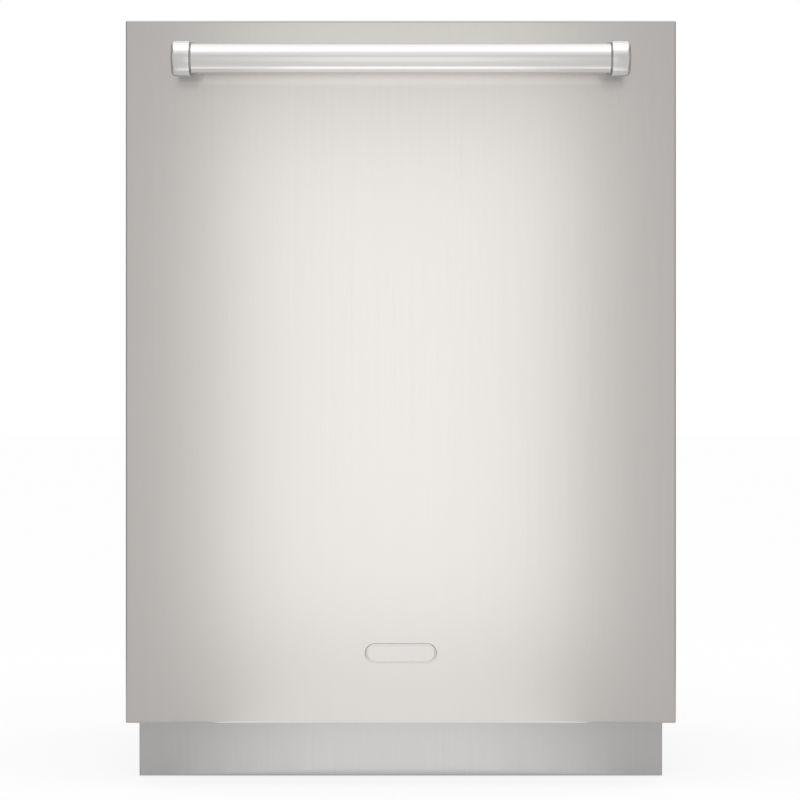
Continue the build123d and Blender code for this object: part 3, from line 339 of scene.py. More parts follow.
def wires(starts: np.ndarray, ends: np.ndarray, radius: float, tips: bool = False, sides: int = 8) -> Surface:
    """Many straight wires at once, with flat ends or with round tips.

    Towards a round tip the radius shrinks as the square root of the way that is left.

    Args:
        starts: Where each wire starts, as (n, 3).
        ends: Where each wire ends.
        radius: Radius of each wire.
        tips: Whether the far ends are round.
        sides: Points round each wire.

    Returns:
        One surface with all the wires.
    """
    starts, ends = np.atleast_2d(starts), np.atleast_2d(ends)
    way = unit(ends - starts)
    helper = np.where(np.abs(way[:, 2:]) < 0.9, (0.0, 0.0, 1.0), (1.0, 0.0, 0.0))
    side = unit(np.cross(way, helper))
    ring = radius * circles(side, np.cross(way, side), sides)
    steps = ((1.0, 1.0), (0.5, 0.87), (0.15, 0.53), (0.0, 0.2)) if tips else ((0.0, 1.0),)
    rows = [starts[:, None] + ring, *[(ends - way * radius * back)[:, None] + size * ring for back, size in steps]]
    points = np.stack(rows, axis=1)
    one = skin(points[0]).repeated(np.zeros((len(starts), 3)))
    return Surface(points.reshape(-1, 3), one.faces)


# Finishes


def linear(hex_colour: str) -> tuple[float, float, float, float]:
    """A colour in linear light: v / 12.92 for the darkest values, ((v + 0.055) / 1.055)^2.4 for the others.

    Args:
        hex_colour: Its sRGB value, as six hex digits.

    Returns:
        Red, green and blue from 0 to 1, and 1.
    """
    value = np.array([int(hex_colour[i : i + 2], 16) for i in (0, 2, 4)]) / 255
    curved = np.where(value <= 0.04045, value / 12.92, ((value + 0.055) / 1.055) ** 2.4)
    return (*map(float, curved), 1.0)


def add(tree: Tree, kind: str, settings: dict | None = None, links: dict | None = None) -> Node:
    """Adds a node with its settings and its links.

    Args:
        tree: The node tree.
        kind: The end of the node's type name, after "ShaderNode".
        settings: Values of sockets, by name or number, or of the node's own options, by name.
        links: What each named or numbered input takes its value from: a node's first output, or the socket given.

    Returns:
        The new node.
    """
    node = tree.nodes.new(f"ShaderNode{kind}")
    for key, value in (settings or {}).items():
        if isinstance(key, int) or key in node.inputs:
            node.inputs[key].default_value = value
        else:
            setattr(node, key, value)
    for key, source in (links or {}).items():
        tree.links.new(source.outputs[0] if isinstance(source, Node) else source, node.inputs[key])
    return node


def empty_tree(owner: bpy.types.ID) -> Tree:
    """Turns on the nodes of a new material or world, and clears them.

    Args:
        owner: The material or world.

    Returns:
        Its empty node tree.
    """
    owner.use_nodes = True
    owner.node_tree.nodes.clear()
    return owner.node_tree


def cloudy(size_mm: float, detail: float = 3.0, distortion: float = 0.0) -> dict:
    """Settings of a noise by the size of its largest spots, its octaves and how far it is dragged along itself."""
    return {"Scale": 1 / (size_mm * MM), "Detail": detail, "Roughness": 0.6, "Distortion": distortion}


class Grain(Enum):
    """The way that a brushed or rolled sheet's grain runs, as the scale of its pattern along X, Y and Z."""

    UPRIGHT = (1.0, 1.0, 0.02)
    ACROSS = (0.02, 1.0, 1.0)
    PLAIN = (1.0, 1.0, 1.0)


UPRIGHT, ACROSS, PLAIN = Grain


@dataclass(frozen=True)
class Finish:
    """A surface finish: two close tones with a speckle, a grain, and a fine relief.

    The tone, roughness and relief all follow noise on Object coordinates, in millimetres.
    """

    name: str
    slot: str
    tone: str
    tone_two: str
    metallic: float
    roughness: float
    roughness_spread: float
    grain: Grain = PLAIN
    grain_mm: float = 1.0
    cloud_mm: float = 60.0
    relief_mm: float = 0.02
    ior: float = 1.5
    coat: float = 0.0
    sheen: float = 0.0

    @cache
    def material(self) -> bpy.types.Material:
        """The finish as a node material, made once."""
        made = bpy.data.materials.new(self.name)
        tree = empty_tree(made)
        place = add(tree, "TexCoord").outputs["Object"]
        stretched = add(tree, "Mapping", {"Scale": self.grain.value}, {"Vector": place})
        shares, height = self.pattern(tree, stretched)
        spread = add(tree, "MapRange", {"From Min": 0.3, "From Max": 0.7}, {"Value": shares})
        tones = {"data_type": "RGBA", 6: linear(self.tone), 7: linear(self.tone_two)}
        tone = add(tree, "Mix", tones, {0: spread})
        low, high = self.roughness - self.roughness_spread, self.roughness + self.roughness_spread
        rough = add(tree, "MapRange", {"To Min": low, "To Max": high}, {"Value": shares})
        relief = add(tree, "Bump", {"Distance": self.relief_mm * MM}, {"Height": height})
        settings = {"Metallic": self.metallic, "Coat Weight": self.coat, "Sheen Weight": self.sheen}
        if not self.metallic:
            settings["IOR"] = self.ior
        links = {"Base Color": tone.outputs[2], "Roughness": rough, "Normal": relief}
        add(tree, "OutputMaterial", links={"Surface": add(tree, "BsdfPrincipled", settings, links)})
        return made

    def pattern(self, tree: Tree, place: Node) -> tuple[Node, Node]:
        """What the tone and roughness follow, and what the relief follows: fine noise and clouds.

        Args:
            tree: The material's node tree.
            place: Coordinates in metres, stretched along the grain.

        Returns:
            The share of the second tone, and the height.
        """
        fine = add(tree, "TexNoise", cloudy(self.grain_mm), {"Vector": place})
        clouds = add(tree, "TexNoise", cloudy(self.cloud_mm, 4.0), {"Vector": place})
        return add(tree, "Mix", {"Factor": 0.45}, {2: fine, 3: clouds}), fine


@dataclass(frozen=True)
class Spangled(Finish):
    """Hot dipped zinc: flat crystals, each with its own tone, drawn at their real 8 to 12 mm."""

    speckle_mm: float = 0.9

    def pattern(self, tree: Tree, place: Node) -> tuple[Node, Node]:
        """Crystals from the random colour of Voronoi cells, softened by clouds; the relief is fine noise.

        Args:
            tree: The material's node tree.
            place: Coordinates in metres, stretched along the grain.

        Returns:
            The share of the second tone, and the height.
        """
        crystals = add(tree, "TexVoronoi", {"Scale": 1 / (self.grain_mm * MM)}, {"Vector": place})
        parts = add(tree, "SeparateColor", {}, {"Color": crystals.outputs["Color"]})
        fine = add(tree, "TexNoise", cloudy(self.speckle_mm), {"Vector": place})
        clouds = add(tree, "TexNoise", cloudy(self.cloud_mm), {"Vector": place})
        soft = add(tree, "Mix", {"Factor": 0.5}, {2: fine, 3: clouds})
        return add(tree, "Mix", {"Factor": 0.4}, {2: soft, 3: parts}), fine


@dataclass(frozen=True)
class Felted(Finish):
    """Needled felt: tangled fibres, and paler flecks of reclaimed yarn."""

    fleck_mm: float = 5.5
    tangle_mm: float = 4.5
    drag_mm: float = 4.0

    def pattern(self, tree: Tree, place: Node) -> tuple[Node, Node]:
        """Noise dragged along itself draws the fibres; small Voronoi cells, near their middles, draw the flecks.

        Args:
            tree: The material's node tree.
            place: Coordinates in metres, stretched along the grain.

        Returns:
            The share of the second tone, and the height.
        """
        fibres = add(tree, "TexNoise", cloudy(self.grain_mm, 5.0, 2.4), {"Vector": place})
        clouds = add(tree, "TexNoise", cloudy(self.cloud_mm, 4.0), {"Vector": place})
        dragged = add(tree, "Mix", {"Factor": 0.3}, {2: fibres, 3: clouds})
        bent = add(tree, "VectorMath", {"operation": "SCALE", "Scale": self.drag_mm * MM}, {0: dragged})
        moved = add(tree, "VectorMath", {"operation": "ADD"}, {0: place, 1: bent})
        cells = add(tree, "TexVoronoi", {"Scale": 1 / (self.fleck_mm * MM)}, {"Vector": moved})
        fleck = add(tree, "MapRange", {"From Min": 0.26, "From Max": 0.12}, {"Value": cells})
        tangle = add(tree, "TexNoise", cloudy(self.tangle_mm, 2.0), {"Vector": place})
        height = add(tree, "Mix", {"Factor": 0.4}, {2: fibres, 3: tangle})
        return add(tree, "Mix", {"Factor": 0.32}, {2: dragged, 3: fleck}), height


@dataclass(frozen=True)
class Perforated(Finish):
    """Etched filter mesh: round holes 0.9 mm apart, drawn 2.6 mm apart so that they show, as painted shade in the
    darker tone.
    """

    pitch_mm: float = 2.6

    def pattern(self, tree: Tree, place: Node) -> tuple[Node, Node]:
        """Painted shade for the holes, where cos x * cos y, in turns of the pitch, is high.

        Args:
            tree: The material's node tree.
            place: Coordinates in metres, stretched along the grain.

        Returns:
            The share of the second tone, and the height.
        """
        apart = add(tree, "SeparateXYZ", {}, {"Vector": place})
        rate = {"operation": "MULTIPLY", 1: np.pi / (self.pitch_mm * MM)}
        turns = (add(tree, "Math", rate, {0: apart.outputs[axis]}) for axis in (0, 1))
        x_wave, y_wave = (add(tree, "Math", {"operation": "COSINE"}, {0: turn}) for turn in turns)
        both = add(tree, "Math", {"operation": "MULTIPLY"}, {0: x_wave, 1: y_wave})
        size = add(tree, "Math", {"operation": "ABSOLUTE"}, {0: both})
        hole_shade = add(tree, "MapRange", {"From Min": 0.66, "From Max": 0.54}, {"Value": size})
        return hole_shade, hole_shade


@dataclass(frozen=True)
class Lacquered(Finish):
    """Coil coated sheet: orange peel, a faint cloud, and hairline scuffs from handling."""

    scuff_mm: float = 26.0

    def pattern(self, tree: Tree, place: Node) -> tuple[Node, Node]:
        """Scuffs are the thin lines where dragged, drawn-out noise crosses its middle value.

        Args:
            tree: The material's node tree.
            place: Coordinates in metres, stretched along the grain.

        Returns:
            The share of the second tone, and the height.
        """
        drawn = add(tree, "Mapping", {"Scale": (1.0, 0.22, 0.9), "Rotation": (0.0, 0.0, 0.5)}, {"Vector": place})
        lines = add(tree, "TexNoise", cloudy(self.scuff_mm, 2.0, 0.6), {"Vector": drawn})
        away = add(tree, "Math", {"operation": "SUBTRACT", 1: 0.5}, {0: lines})
        width = add(tree, "Math", {"operation": "ABSOLUTE"}, {0: away})
        scuff = add(tree, "MapRange", {"From Min": 0.006, "From Max": 0.0}, {"Value": width})
        peel = add(tree, "TexNoise", cloudy(self.grain_mm, 2.0), {"Vector": place})
        clouds = add(tree, "TexNoise", cloudy(self.cloud_mm, 4.0), {"Vector": place})
        body = add(tree, "Mix", {"Factor": 0.6}, {2: peel, 3: clouds})
        return add(tree, "Mix", {"Factor": 0.22}, {2: body, 3: scuff}), peel


# Stainless 304 sheet, brushed upright with 180 grit: a soft satin with faint upright streaks. The grain is a few
# hundredths of a millimetre wide and is drawn near 1 mm so that it shows.
BRUSHED_PANEL = Finish(
    "Brushed_stainless_sheet", "panel_steel", "ACA9A6", "AFACA9", 1.0, 0.225, 0.012, UPRIGHT, 0.9, 5.0, 0.005
)
# Stainless 304 sheet for the kick, brushed upright like the panel, a shade greyer and duller.
BRUSHED_KICK = Finish(
    "Brushed_stainless_kick", "panel_steel", "A2A09F", "A7A5A4", 1.0, 0.29, 0.03, UPRIGHT, 0.9, 5.0, 0.006
)
# Stainless tube, satin polished round its length: bright bands along the bar.
SATIN_TUBE = Finish(
    "Satin_polished_stainless_tube", "handle_steel", "BBB9B7", "C1BFBD", 1.0, 0.17, 0.04, ACROSS, 0.8, 10.0, 0.004
)
# Investment cast stainless, satin polished: the same tone without a grain.
SATIN_CASTING = Finish(
    "Satin_polished_stainless_casting", "handle_steel", "B8B7B6", "C0BFBE", 1.0, 0.19, 0.04, PLAIN, 0.9, 12.0, 0.004
)
# Investment cast stainless, bead blasted: the duller post behind the bar. Its darker tone is painted shade, for the
# shade on the posts and in the groove by each collar.
BLASTED_CASTING_PAINTED_SHADE = Finish(
    "Bead_blasted_casting_painted_shade", "handle_steel", "8E8D8B", "969593", 1.0, 0.42, 0.06, PLAIN, 0.8, 12.0, 0.01
)
# Zinc die casting, satin plated: the bare plate.
PLATED_PLATE = Finish(
    "Satin_plated_casting", "badge_metal", "ACAAA7", "B1AFAC", 1.0, 0.25, 0.03, PLAIN, 0.6, 8.0, 0.003
)
# Stainless 430 sheet, bright rolled: cloudy mirror of the tub.
ROLLED_TUB = Finish(
    "Bright_rolled_stainless_sheet", "tub_steel", "C2C3C4", "CCCDCE", 1.0, 0.22, 0.06, UPRIGHT, 0.7, 45.0, 0.006
)
# Stainless foil etched with holes: pale mesh whose dark dots are painted shade for the holes.
FILTER_MESH = Perforated(
    "Etched_stainless_filter_mesh", "tub_steel", "3A3B3D", "C4C5C6", 1.0, 0.32, 0.08, PLAIN, 1.0, 20.0, 0.15
)
# Hot dipped steel sheet: dull grey with flat crystals.
ZINC_SHEET = Spangled(
    "Galvanised_steel_sheet", "sheet_steel", "989B9E", "BDC0C2", 1.0, 0.42, 0.12, PLAIN, 9.0, 30.0, 0.010
)
# Spring wire with a thin zinc coat: bright drawn wire with faint lengthways marks.
ZINC_WIRE = Finish(
    "Zinc_coated_spring_wire", "sheet_steel", "A6A9AB", "B9BBBD", 1.0, 0.32, 0.08, PLAIN, 0.6, 12.0, 0.006
)
# Steel sheet with a grey polyester coat: low gloss with orange peel.
PAINTED_SHELL = Lacquered(
    "Painted_steel_shell", "shell_paint", "515457", "5E6164", 0.0, 0.50, 0.08, PLAIN, 1.8, 80.0, 0.03, 1.5
)
# Pre-coated steel sheet of the cabinet's sides: a paler grey with a low gloss and faint scuffs.
PAINTED_SIDE = Lacquered(
    "Pre_coated_steel_side", "side_paint", "7B7E81", "8A8D90", 0.0, 0.44, 0.09, PLAIN, 1.7, 90.0, 0.03, 1.5
)
# Needled felt of reclaimed fibre: mottled grey with a soft nap.
NEEDLED_FELT = Felted(
    "Needled_felt", "felt", "45484B", "8A8D90", 0.0, 0.95, 0.04, PLAIN, 2.2, 40.0, 0.6, 1.45, 0.0, 0.25
)
# Moulded ABS with a polished mould: the dark strip on the door's edge.
GLOSS_ABS = Finish(
    "Moulded_gloss_ABS", "strip_plastic", "151517", "1B1B1D", 0.0, 0.20, 0.05, PLAIN, 1.2, 70.0, 0.004, 1.54, 0.2
)
# Moulded ABS, spark eroded mould: the matt keys.
MATT_ABS = Finish(
    "Moulded_matt_ABS", "key_plastic", "3A3A3D", "424246", 0.0, 0.45, 0.05, PLAIN, 0.5, 20.0, 0.015, 1.54
)
# Moulded polypropylene with talc: the dark base and pumps.
DARK_PP = Finish(
    "Moulded_dark_polypropylene", "base_plastic", "25262A", "303135", 0.0, 0.50, 0.07, PLAIN, 1.0, 40.0, 0.03, 1.49
)
# Moulded polypropylene, grey: wet parts inside the tub.
GREY_PP = Finish(
    "Moulded_grey_polypropylene", "grey_plastic", "8D9195", "989CA0", 0.0, 0.38, 0.06, PLAIN, 0.9, 50.0, 0.015, 1.49
)
# Extruded EPDM rubber: matt, dark, with a faint bloom.
EPDM_RUBBER = Finish(
    "Extruded_EPDM_rubber", "seal_rubber", "232325", "303033", 0.0, 0.62, 0.08, PLAIN, 0.8, 30.0, 0.02, 1.52
)
# Steel wire dipped in nylon powder: smooth light grey with a soft gloss.
NYLON_WIRE = Finish(
    "Nylon_coated_steel_wire", "rack_coating", "A7ABAF", "B0B4B8", 0.0, 0.33, 0.04, PLAIN, 1.5, 40.0, 0.01, 1.53
)
# The CAD nodes whose shape is kept, by what they are made of.
KEPT = (
    (ZINC_SHEET, "handle_screws latch_hook hinge_arm_left hinge_arm_right top_frame countertop_brackets"),
    (ZINC_SHEET, "terminal_box hinge_bracket_left hinge_bracket_right"),
    (PAINTED_SHELL, "door_shell"),
    (PAINTED_SIDE, "side_panel_left side_panel_right"),
    (ROLLED_TUB, "inner_liner tub tub_floor upper_rail_left upper_rail_right middle_rail_left middle_rail_right"),
    (FILTER_MESH, "fine_filter"),
    (GLOSS_ABS, "control_strip"),
    (MATT_ABS, "power_button program_button start_button"),
    (DARK_PP, "base_pan circulation_pump drain_pump"),
    (GREY_PP, "dispenser_housing sump filter_cup feed_tube inlet_valve drain_outlet air_break"),
)


# Making objects


def make(
    name: str, surface: Surface, finish: Finish, body: str, nodes: tuple[str, ...], sharp_degrees: float = 38.0
) -> bpy.types.Object:
    """Puts a surface into the scene as a piece.

    Args:
        name: Name of the piece.
        surface: Its surface, in millimetres.
        finish: What it is made of.
        body: The CAD body that it rides on, or nothing for a piece that rides on no body.
        nodes: The CAD nodes that it stands for.
        sharp_degrees: Edges that turn by more than this stay sharp.

    Returns:
        The new object.
    """
    mesh = bpy.data.meshes.new(name)
    sizes = np.concatenate([np.full(len(faces), faces.shape[1]) for faces in surface.faces])
    corners = np.concatenate([faces.ravel() for faces in surface.faces]).astype(np.int32)
    mesh.vertices.add(len(surface.points))
    mesh.vertices.foreach_set("co", (surface.points * MM).astype(np.float32).ravel())
    mesh.loops.add(len(corners))
    mesh.loops.foreach_set("vertex_index", corners)
    mesh.polygons.add(len(sizes))
    mesh.polygons.foreach_set("loop_start", np.concatenate([[0], np.cumsum(sizes)[:-1]]).astype(np.int32))
    mesh.update(calc_edges=True)
    shape = bmesh.new()
    shape.from_mesh(mesh)
    bmesh.ops.remove_doubles(shape, verts=shape.verts, dist=WELD_M)
    bmesh.ops.dissolve_degenerate(shape, edges=shape.edges, dist=WELD_M)
    bmesh.ops.recalc_face_normals(shape, faces=shape.faces)
    shape.to_mesh(mesh)
    shape.free()
    mesh.polygons.foreach_set("use_smooth", np.ones(len(mesh.polygons), dtype=bool))
    mesh.set_sharp_from_angle(angle=np.radians(sharp_degrees))
    mesh.materials.append(finish.material())
    piece = bpy.data.objects.new(name, mesh)
    bpy.context.scene.collection.objects.link(piece)
    if body:
        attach(piece, body)
    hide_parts(*nodes)
    log.info("%s: %d faces on %s", name, len(mesh.polygons), body or "two bodies")
    return piece


def dress_kept() -> None:
    """Gives the CAD nodes whose shape is kept their finish."""
    for finish, names in KEPT:
        for name in names.split():
            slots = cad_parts[name].data.materials
            slots.clear()
            slots.append(finish.material())


# The front


@dataclass
class DoorPanel:
    """The folded front sheet: rounded edges, four returns, and a hollow back."""

    width: float = 597.0
    low: float = 70.0
    high: float = 832.0
    front: float = -262.0
    thickness: float = 19.0
    sheet: float = 1.2
    edge: float = 2.0
    flat_ring: float = 2.8
    fold: float = 0.4
    returns: float = 16.0
    corner: float = 1.6
    inner_corner: float = 0.2

    def build(self) -> None:
        """Lofts rings from the front face round the edges to the returns and back inside."""
        soft, rise = quarter_round(self.edge, 6)
        back, sheet, returns = self.thickness, self.sheet, self.returns
        inset = np.array([self.flat_ring, *soft, 0, self.fold, returns, returns, sheet, sheet])
        depth = np.array([0, *rise, back - self.fold, back, back, back - sheet, back - sheet, sheet])
        tall, wide = self.high - self.low - 2 * inset, self.width - 2 * inset
        corner = np.maximum(self.corner - inset, self.inner_corner)
        rows = lofted(tall, wide, corner, self.front + depth, (0, 0, (self.low + self.high) / 2), "y", 4)
        make("Door_panel_sheet", skin(rows), BRUSHED_PANEL, "door", ("door_panel",))


@dataclass
class Handle:
    """The bar handle: a tube between two cast ends, each a collar with a post behind it."""

    length: float = 489.0
    bar_radius: float = 16.1
    collar_radius: float = 18.85
    collar_length: float = 19.7
    edge: float = 4.2
    lip: float = 0.7
    groove: float = 1.3
    post_width: float = 27.0
    post_height: float = 36.4
    foot_height: float = 25.0
    post_corner: float = 6.0
    axis_y: float = -311.15
    axis_z: float = 784.8
    panel_y: float = -262.0

    @property
    def mouth(self) -> float:
        """How far out the right collar starts."""
        return self.length / 2 - self.collar_length

    def about_axis(self, profile: list[Pair], sides: int = 96, ring: bool = False) -> Surface:
        """A profile turned about the bar's axis."""
        return turned(profile, (0, self.axis_y, self.axis_z), "x", sides, ring)

    def tube(self) -> Surface:
        """The grip tube, with a narrow groove where it enters each collar."""
        r, start = self.bar_radius, self.mouth - self.groove
        half = [(r, start - 0.2), (r - 0.2, start), (r - 1.6, start + 0.1), (r - 1.6, self.mouth + 11)]
        return self.about_axis([(radius, -place) for radius, place in half[::-1]] + half)

    def collar(self) -> Surface:
        """The right collar: a cup over the tube's end, with a small round lip, a big round rim and a flat end."""
        outer, inner, r, bore = self.length / 2, self.mouth, self.collar_radius, self.bar_radius - 0.7
        small, big = (np.stack(quarter_round(size, 7), axis=1) for size in (self.lip, self.edge))
        profile = [(bore, inner + 3.0), (bore, inner + 0.3), (r - 1.4, inner)]
        profile += [(r - inwards, inner + 0.2 + along) for inwards, along in small]
        profile += [(r - along, outer - inwards) for inwards, along in big]
        return self.about_axis([*profile, (r * 0.5, outer), (0.01, outer)])

    def groove_shade_ring(self) -> Surface:
        """A ring in the groove between the right collar and the tube, in the post's darker tone: painted shade for the
        shadow line in the groove.
        """
        low, high = self.mouth - self.groove + 0.1, self.mouth + 0.8
        outer, inner = self.bar_radius - 0.6, self.bar_radius - 1.7
        return self.about_axis([(inner, low), (outer, low), (outer, high), (inner, high)], 64, True)

    def post(self) -> Surface:
        """The right post: rounded rectangles whose height grows evenly from the panel to the bar."""
        share = np.array([0.0, 0.02, 0.5, 0.86, 0.97, 1.0])
        inset = np.array([0.0, 0.0, 0.0, 0.0, 0.5, 1.6])
        tall = self.foot_height + (self.post_height - self.foot_height) * share - 2 * inset
        place = self.panel_y + (self.axis_y - self.panel_y) * share
        centre = (self.length / 2 - 1 - self.post_width / 2, 0, self.axis_z)
        return skin(lofted(tall, self.post_width - 2 * inset, self.post_corner - inset, place, centre, "y", 8))

    def build(self) -> None:
        """Makes the tube and both ends."""
        make("Handle_tube", self.tube(), SATIN_TUBE, "door", ("handle_bar",), 30)
        make("Handle_collars", self.collar().paired(), SATIN_CASTING, "door", ("handle_ends",), 30)
        # The posts and the ring in each groove take the darker casting tone, which is painted shade.
        make("Handle_posts", (self.post() + self.groove_shade_ring()).paired(), BLASTED_CASTING_PAINTED_SHADE, "door", ("handle_ends",), 30)


@dataclass
class Plate:
    """The bare pill-shaped plate: a raised rim round a slightly sunk field."""

    width: float = 78.0
    height: float = 21.0
    centre: Point = (0.0, -262.0, 146.0)
    insets: tuple[float, ...] = (0.0, 0.0, 0.12, 0.45, 0.9, 1.5, 1.9, 2.3, 2.6, 3.0)
    rises: tuple[float, ...] = (0.0, 1.5, 1.95, 2.28, 2.4, 2.4, 2.3, 2.0, 1.95, 1.95)

    def build(self) -> None:
        """Lofts pill outlines from the panel over the rim and down into the field."""
        inset, rise = np.array(self.insets), np.array(self.rises)
        tall, wide = self.height - 2 * inset, self.width - 2 * inset
        pill = skin(lofted(tall, wide, tall / 2, -rise, self.centre, "y", 20))
        make("Pill_plate", pill, PLATED_PLATE, "door", ("badge_plate",), 50)


@dataclass
class Kick:
    """The recessed sheet under the door, with all four edges folded back."""

    width: float = 582.5
    low: float = 2.0
    high: float = 62.0
    front: float = -180.0
    flange: float = 12.0
    sheet: float = 1.2
    edge: float = 1.0
    flat_ring: float = 1.6
    fold: float = 0.4
    corner: float = 0.6

    def build(self) -> None:
        """Lofts rectangles from the face round the folded edges, closed inside by the sheet's back."""
        soft, rise = quarter_round(self.edge, 5)
        back, sheet = self.flange, self.sheet
        inset = np.array([self.flat_ring, *soft, 0.0, self.fold, sheet, sheet, sheet])
        depth = np.array([0.0, *rise, back - self.fold, back, back, back - self.edge, sheet])
        tall, wide = self.high - self.low - 2 * inset, self.width - 2 * inset
        rows = lofted(tall, wide, self.corner, self.front + depth, (0, 0, (self.low + self.high) / 2), "y", 3)
        make("Kick_sheet", skin(rows), BRUSHED_KICK, "cabinet", ("kick_panel",))


# Racks


@dataclass
class WireRack:
    """A coated wire rack: U-shaped wires both ways, two rims, rows of tines and a grip.

    The wires that run from side to side lie under those that run from front to back.
    """

    name: str
    body: str
    node: str
    floor_z: float
    wall: float
    tine_rows: tuple[float, ...]
    tine_count: int
    tine_inset: float
    tine_high: float
    half: float = 247.0
    front: float = -157.0
    back: float = 277.0
    wire: float = 1.65
    rim: float = 2.1
    corner: float = 15.0
    rim_corner: float = 22.0
    across: int = 13
    along: int = 12
    end_margin: float = 17.0
    side_margin: float = 20.0
    floor_high: float = 3.7
    grip_half: float = 90.0

    @property
    def top(self) -> float:
        """The height of the upper rim's upper side."""
        return self.floor_z + self.floor_high + self.wall

    def frame(self) -> Surface:
        """Both sets of U-shaped wires, and the two rims inside them."""
        y = np.linspace(self.front + self.end_margin, self.back - self.end_margin, self.across)
        x = np.linspace(self.side_margin - self.half, self.half - self.side_margin, self.along)
        w, end = self.wire, self.top - 0.4
        side, low = self.half - w, self.floor_z - w
        corners = [(-side, 0, end), (-side, 0, low), (side, 0, low), (side, 0, end)]
        under = tube(rounded_path(corners, self.corner), w, (0, 1, 0)).repeated(points_at(0, y, 0))
        near, far, low = self.front + w, self.back - w, self.floor_z + w
        corners = [(0, near, end), (0, near, low), (0, far, low), (0, far, end)]
        over = tube(rounded_path(corners, self.corner), w, (1, 0, 0)).repeated(points_at(x, 0, 0))
        high, middle = self.top - self.rim, (self.top + self.floor_z) / 2
        return joined([under, over, self.rim_wire(high, self.rim), self.rim_wire(middle, w)])

    def rim_wire(self, z: float, radius: float) -> Surface:
        """A wire right round the rack, inside its upright wires.

        Args:
            z: Height of its middle.
            radius: Its radius.

        Returns:
            The closed wire.
        """
        inset = 2 * self.wire + radius - 0.3
        x, near, far = self.half - inset, self.front + inset, self.back - inset
        corners = [(-x, near, z), (x, near, z), (x, far, z), (-x, far, z)]
        return tube(rounded_path(corners, self.rim_corner, closed=True), radius, (0, 0, 1), closed=True)

    def tines(self) -> Surface:
        """Rows of upright wires with round tips, each row on a wire along the floor."""
        low = self.floor_z + self.floor_high
        near, far = self.front + self.tine_inset, self.back - self.tine_inset
        y = np.linspace(near + self.wire, far - self.wire, self.tine_count)
        foot, head, rows = low + self.wire, low + self.tine_high, []
        for x in self.tine_rows:
            rows.append(wires(points_at(x, y, foot), points_at(x, y, head), self.wire, tips=True))
            rows.append(wires(points_at(x, near, foot), points_at(x, far, foot), self.wire))
        return joined(rows)

    def grip(self) -> Surface:
        """The moulded grip on the front rim: a rounded bar with a finger groove along its front."""
        outline = [(3, 0), (12, 0), (12, 11), (9, 14), (4, 14), (0, 11), (0, 9.4), (1.8, 7.4), (1.8, 5), (0, 3.2)]
        soft = rounded_path(np.add(outline, (self.front - 3, self.top + 0.6)), 1.6, closed=True, steps=4)
        return extruded(soft, "x", -self.grip_half, self.grip_half, 3.0)

    def build(self) -> None:
        """Makes the wires and the grip."""
        make(f"{self.name}_wires", self.frame(), NYLON_WIRE, self.body, (self.node,), 60)
        make(f"{self.name}_tines", self.tines(), NYLON_WIRE, self.body, (self.node,), 60)
        make(f"{self.name}_grip", self.grip(), GREY_PP, self.body, (self.node,), 40)


@dataclass
class LowerRack(WireRack):
    """The lower rack with the clips and pins that its wheels turn on."""

    wheel_y: tuple[float, ...] = (-87.0, 80.0, 247.0)
    wheel_z: float = 188.3
    pin: float = 2.9
    clip_half: float = 9.0
    clip_high: float = 30.0

    def clips(self) -> Surface:
        """The right-hand clips: a rounded plate on the rack's side, a rib, and a pin with a snap head for each."""
        x, z = self.half + 0.3, self.wheel_z
        half, top = self.clip_half, self.floor_z + self.clip_high
        plate = block((x, -half, z - 8), (x + 3.3, half, top), 0.8, 4.0, "x")
        rib = block((x, -2, z), (x + 4.3, 2, top - 4), 0.6, 0.8, "x")
        profile = [(self.pin, 0), (self.pin, 9.6), (self.pin - 0.5, 10.4), (0.8, 10.6)]
        clip = plate + rib + turned(profile, (x + 3, 0, z), "x", 16)
        return clip.repeated(points_at(0, self.wheel_y, 0))

    def build(self) -> None:
        """Makes the rack and its six clips."""
        super().build()
        make("Lower_rack_clips", self.clips().paired(), GREY_PP, self.body, (self.node,))


@dataclass
class UpperRack(WireRack):
    """The upper rack with its runners and the duct that feeds its spray arm."""

    rail_z: float = 576.0
    web_x: float = 258.7
    lip_x: float = 266.5
    rail_half: float = 12.0
    sheet: float = 1.5
    hanger_y: Pair = (-46.85, 166.85)
    duct_z: float = 518.0
    duct_half: Pair = (12.0, 7.0)
    duct_ribs: int = 7
    stem: float = 11.9
    arm_y: float = 49.0

    def runner(self) -> Surface:
        """The right runner: a folded channel, and the two plates that hang it on the rack."""
        high, low = self.rail_z + self.rail_half, self.rail_z - self.rail_half
        web, lip, t = self.web_x, self.lip_x, self.sheet
        outline = [(low, web), (low, lip), (low + t, lip), (low + t, web + t), (high - t, web + t), (high - t, lip)]
        soft = rounded_path([*outline, (high, lip), (high, web)], 0.5, closed=True, steps=2)
        channel = extruded(soft, "y", self.front + 2, self.back - 2)
        plate = block((self.half + 0.3, -15, self.rail_z - 8), (web + 0.4, 15, self.rail_z + 8), 0.8, 2.5, "x")
        return channel + plate.repeated(points_at(0, self.hanger_y, 0))

    def duct(self) -> Surface:
        """The flat duct under the rack, its stem down to the arm and the clip that carries it."""
        y, z, (wide, tall) = self.arm_y, self.duct_z, self.duct_half
        run = block((-wide, y - 14, z - tall), (wide, self.back + 3, z + tall), 2.0, 4.0, "y", 4)
        rib = block((-wide - 0.3, -1, z - tall + 1), (wide + 0.3, 1, z + tall - 1), 0.4, 2.0, "y")
        ribs = rib.repeated(points_at(0, np.linspace(y + 20, self.back - 20, self.duct_ribs), 0))
        stem = turned([(self.stem, -20), (self.stem, -1), (self.stem, 0)], (0, y, z), "z", 32)
        return joined([run, ribs, stem, block((-5, 120, z), (5, 130, self.floor_z - 0.3), 0.6, 1.0)])

    def build(self) -> None:
        """Makes the rack, its runners and its duct."""
        super().build()
        make("Upper_rack_runners", self.runner().paired(), ROLLED_TUB, self.body, (self.node,))
        make("Upper_rack_duct", self.duct(), GREY_PP, self.body, (self.node,))


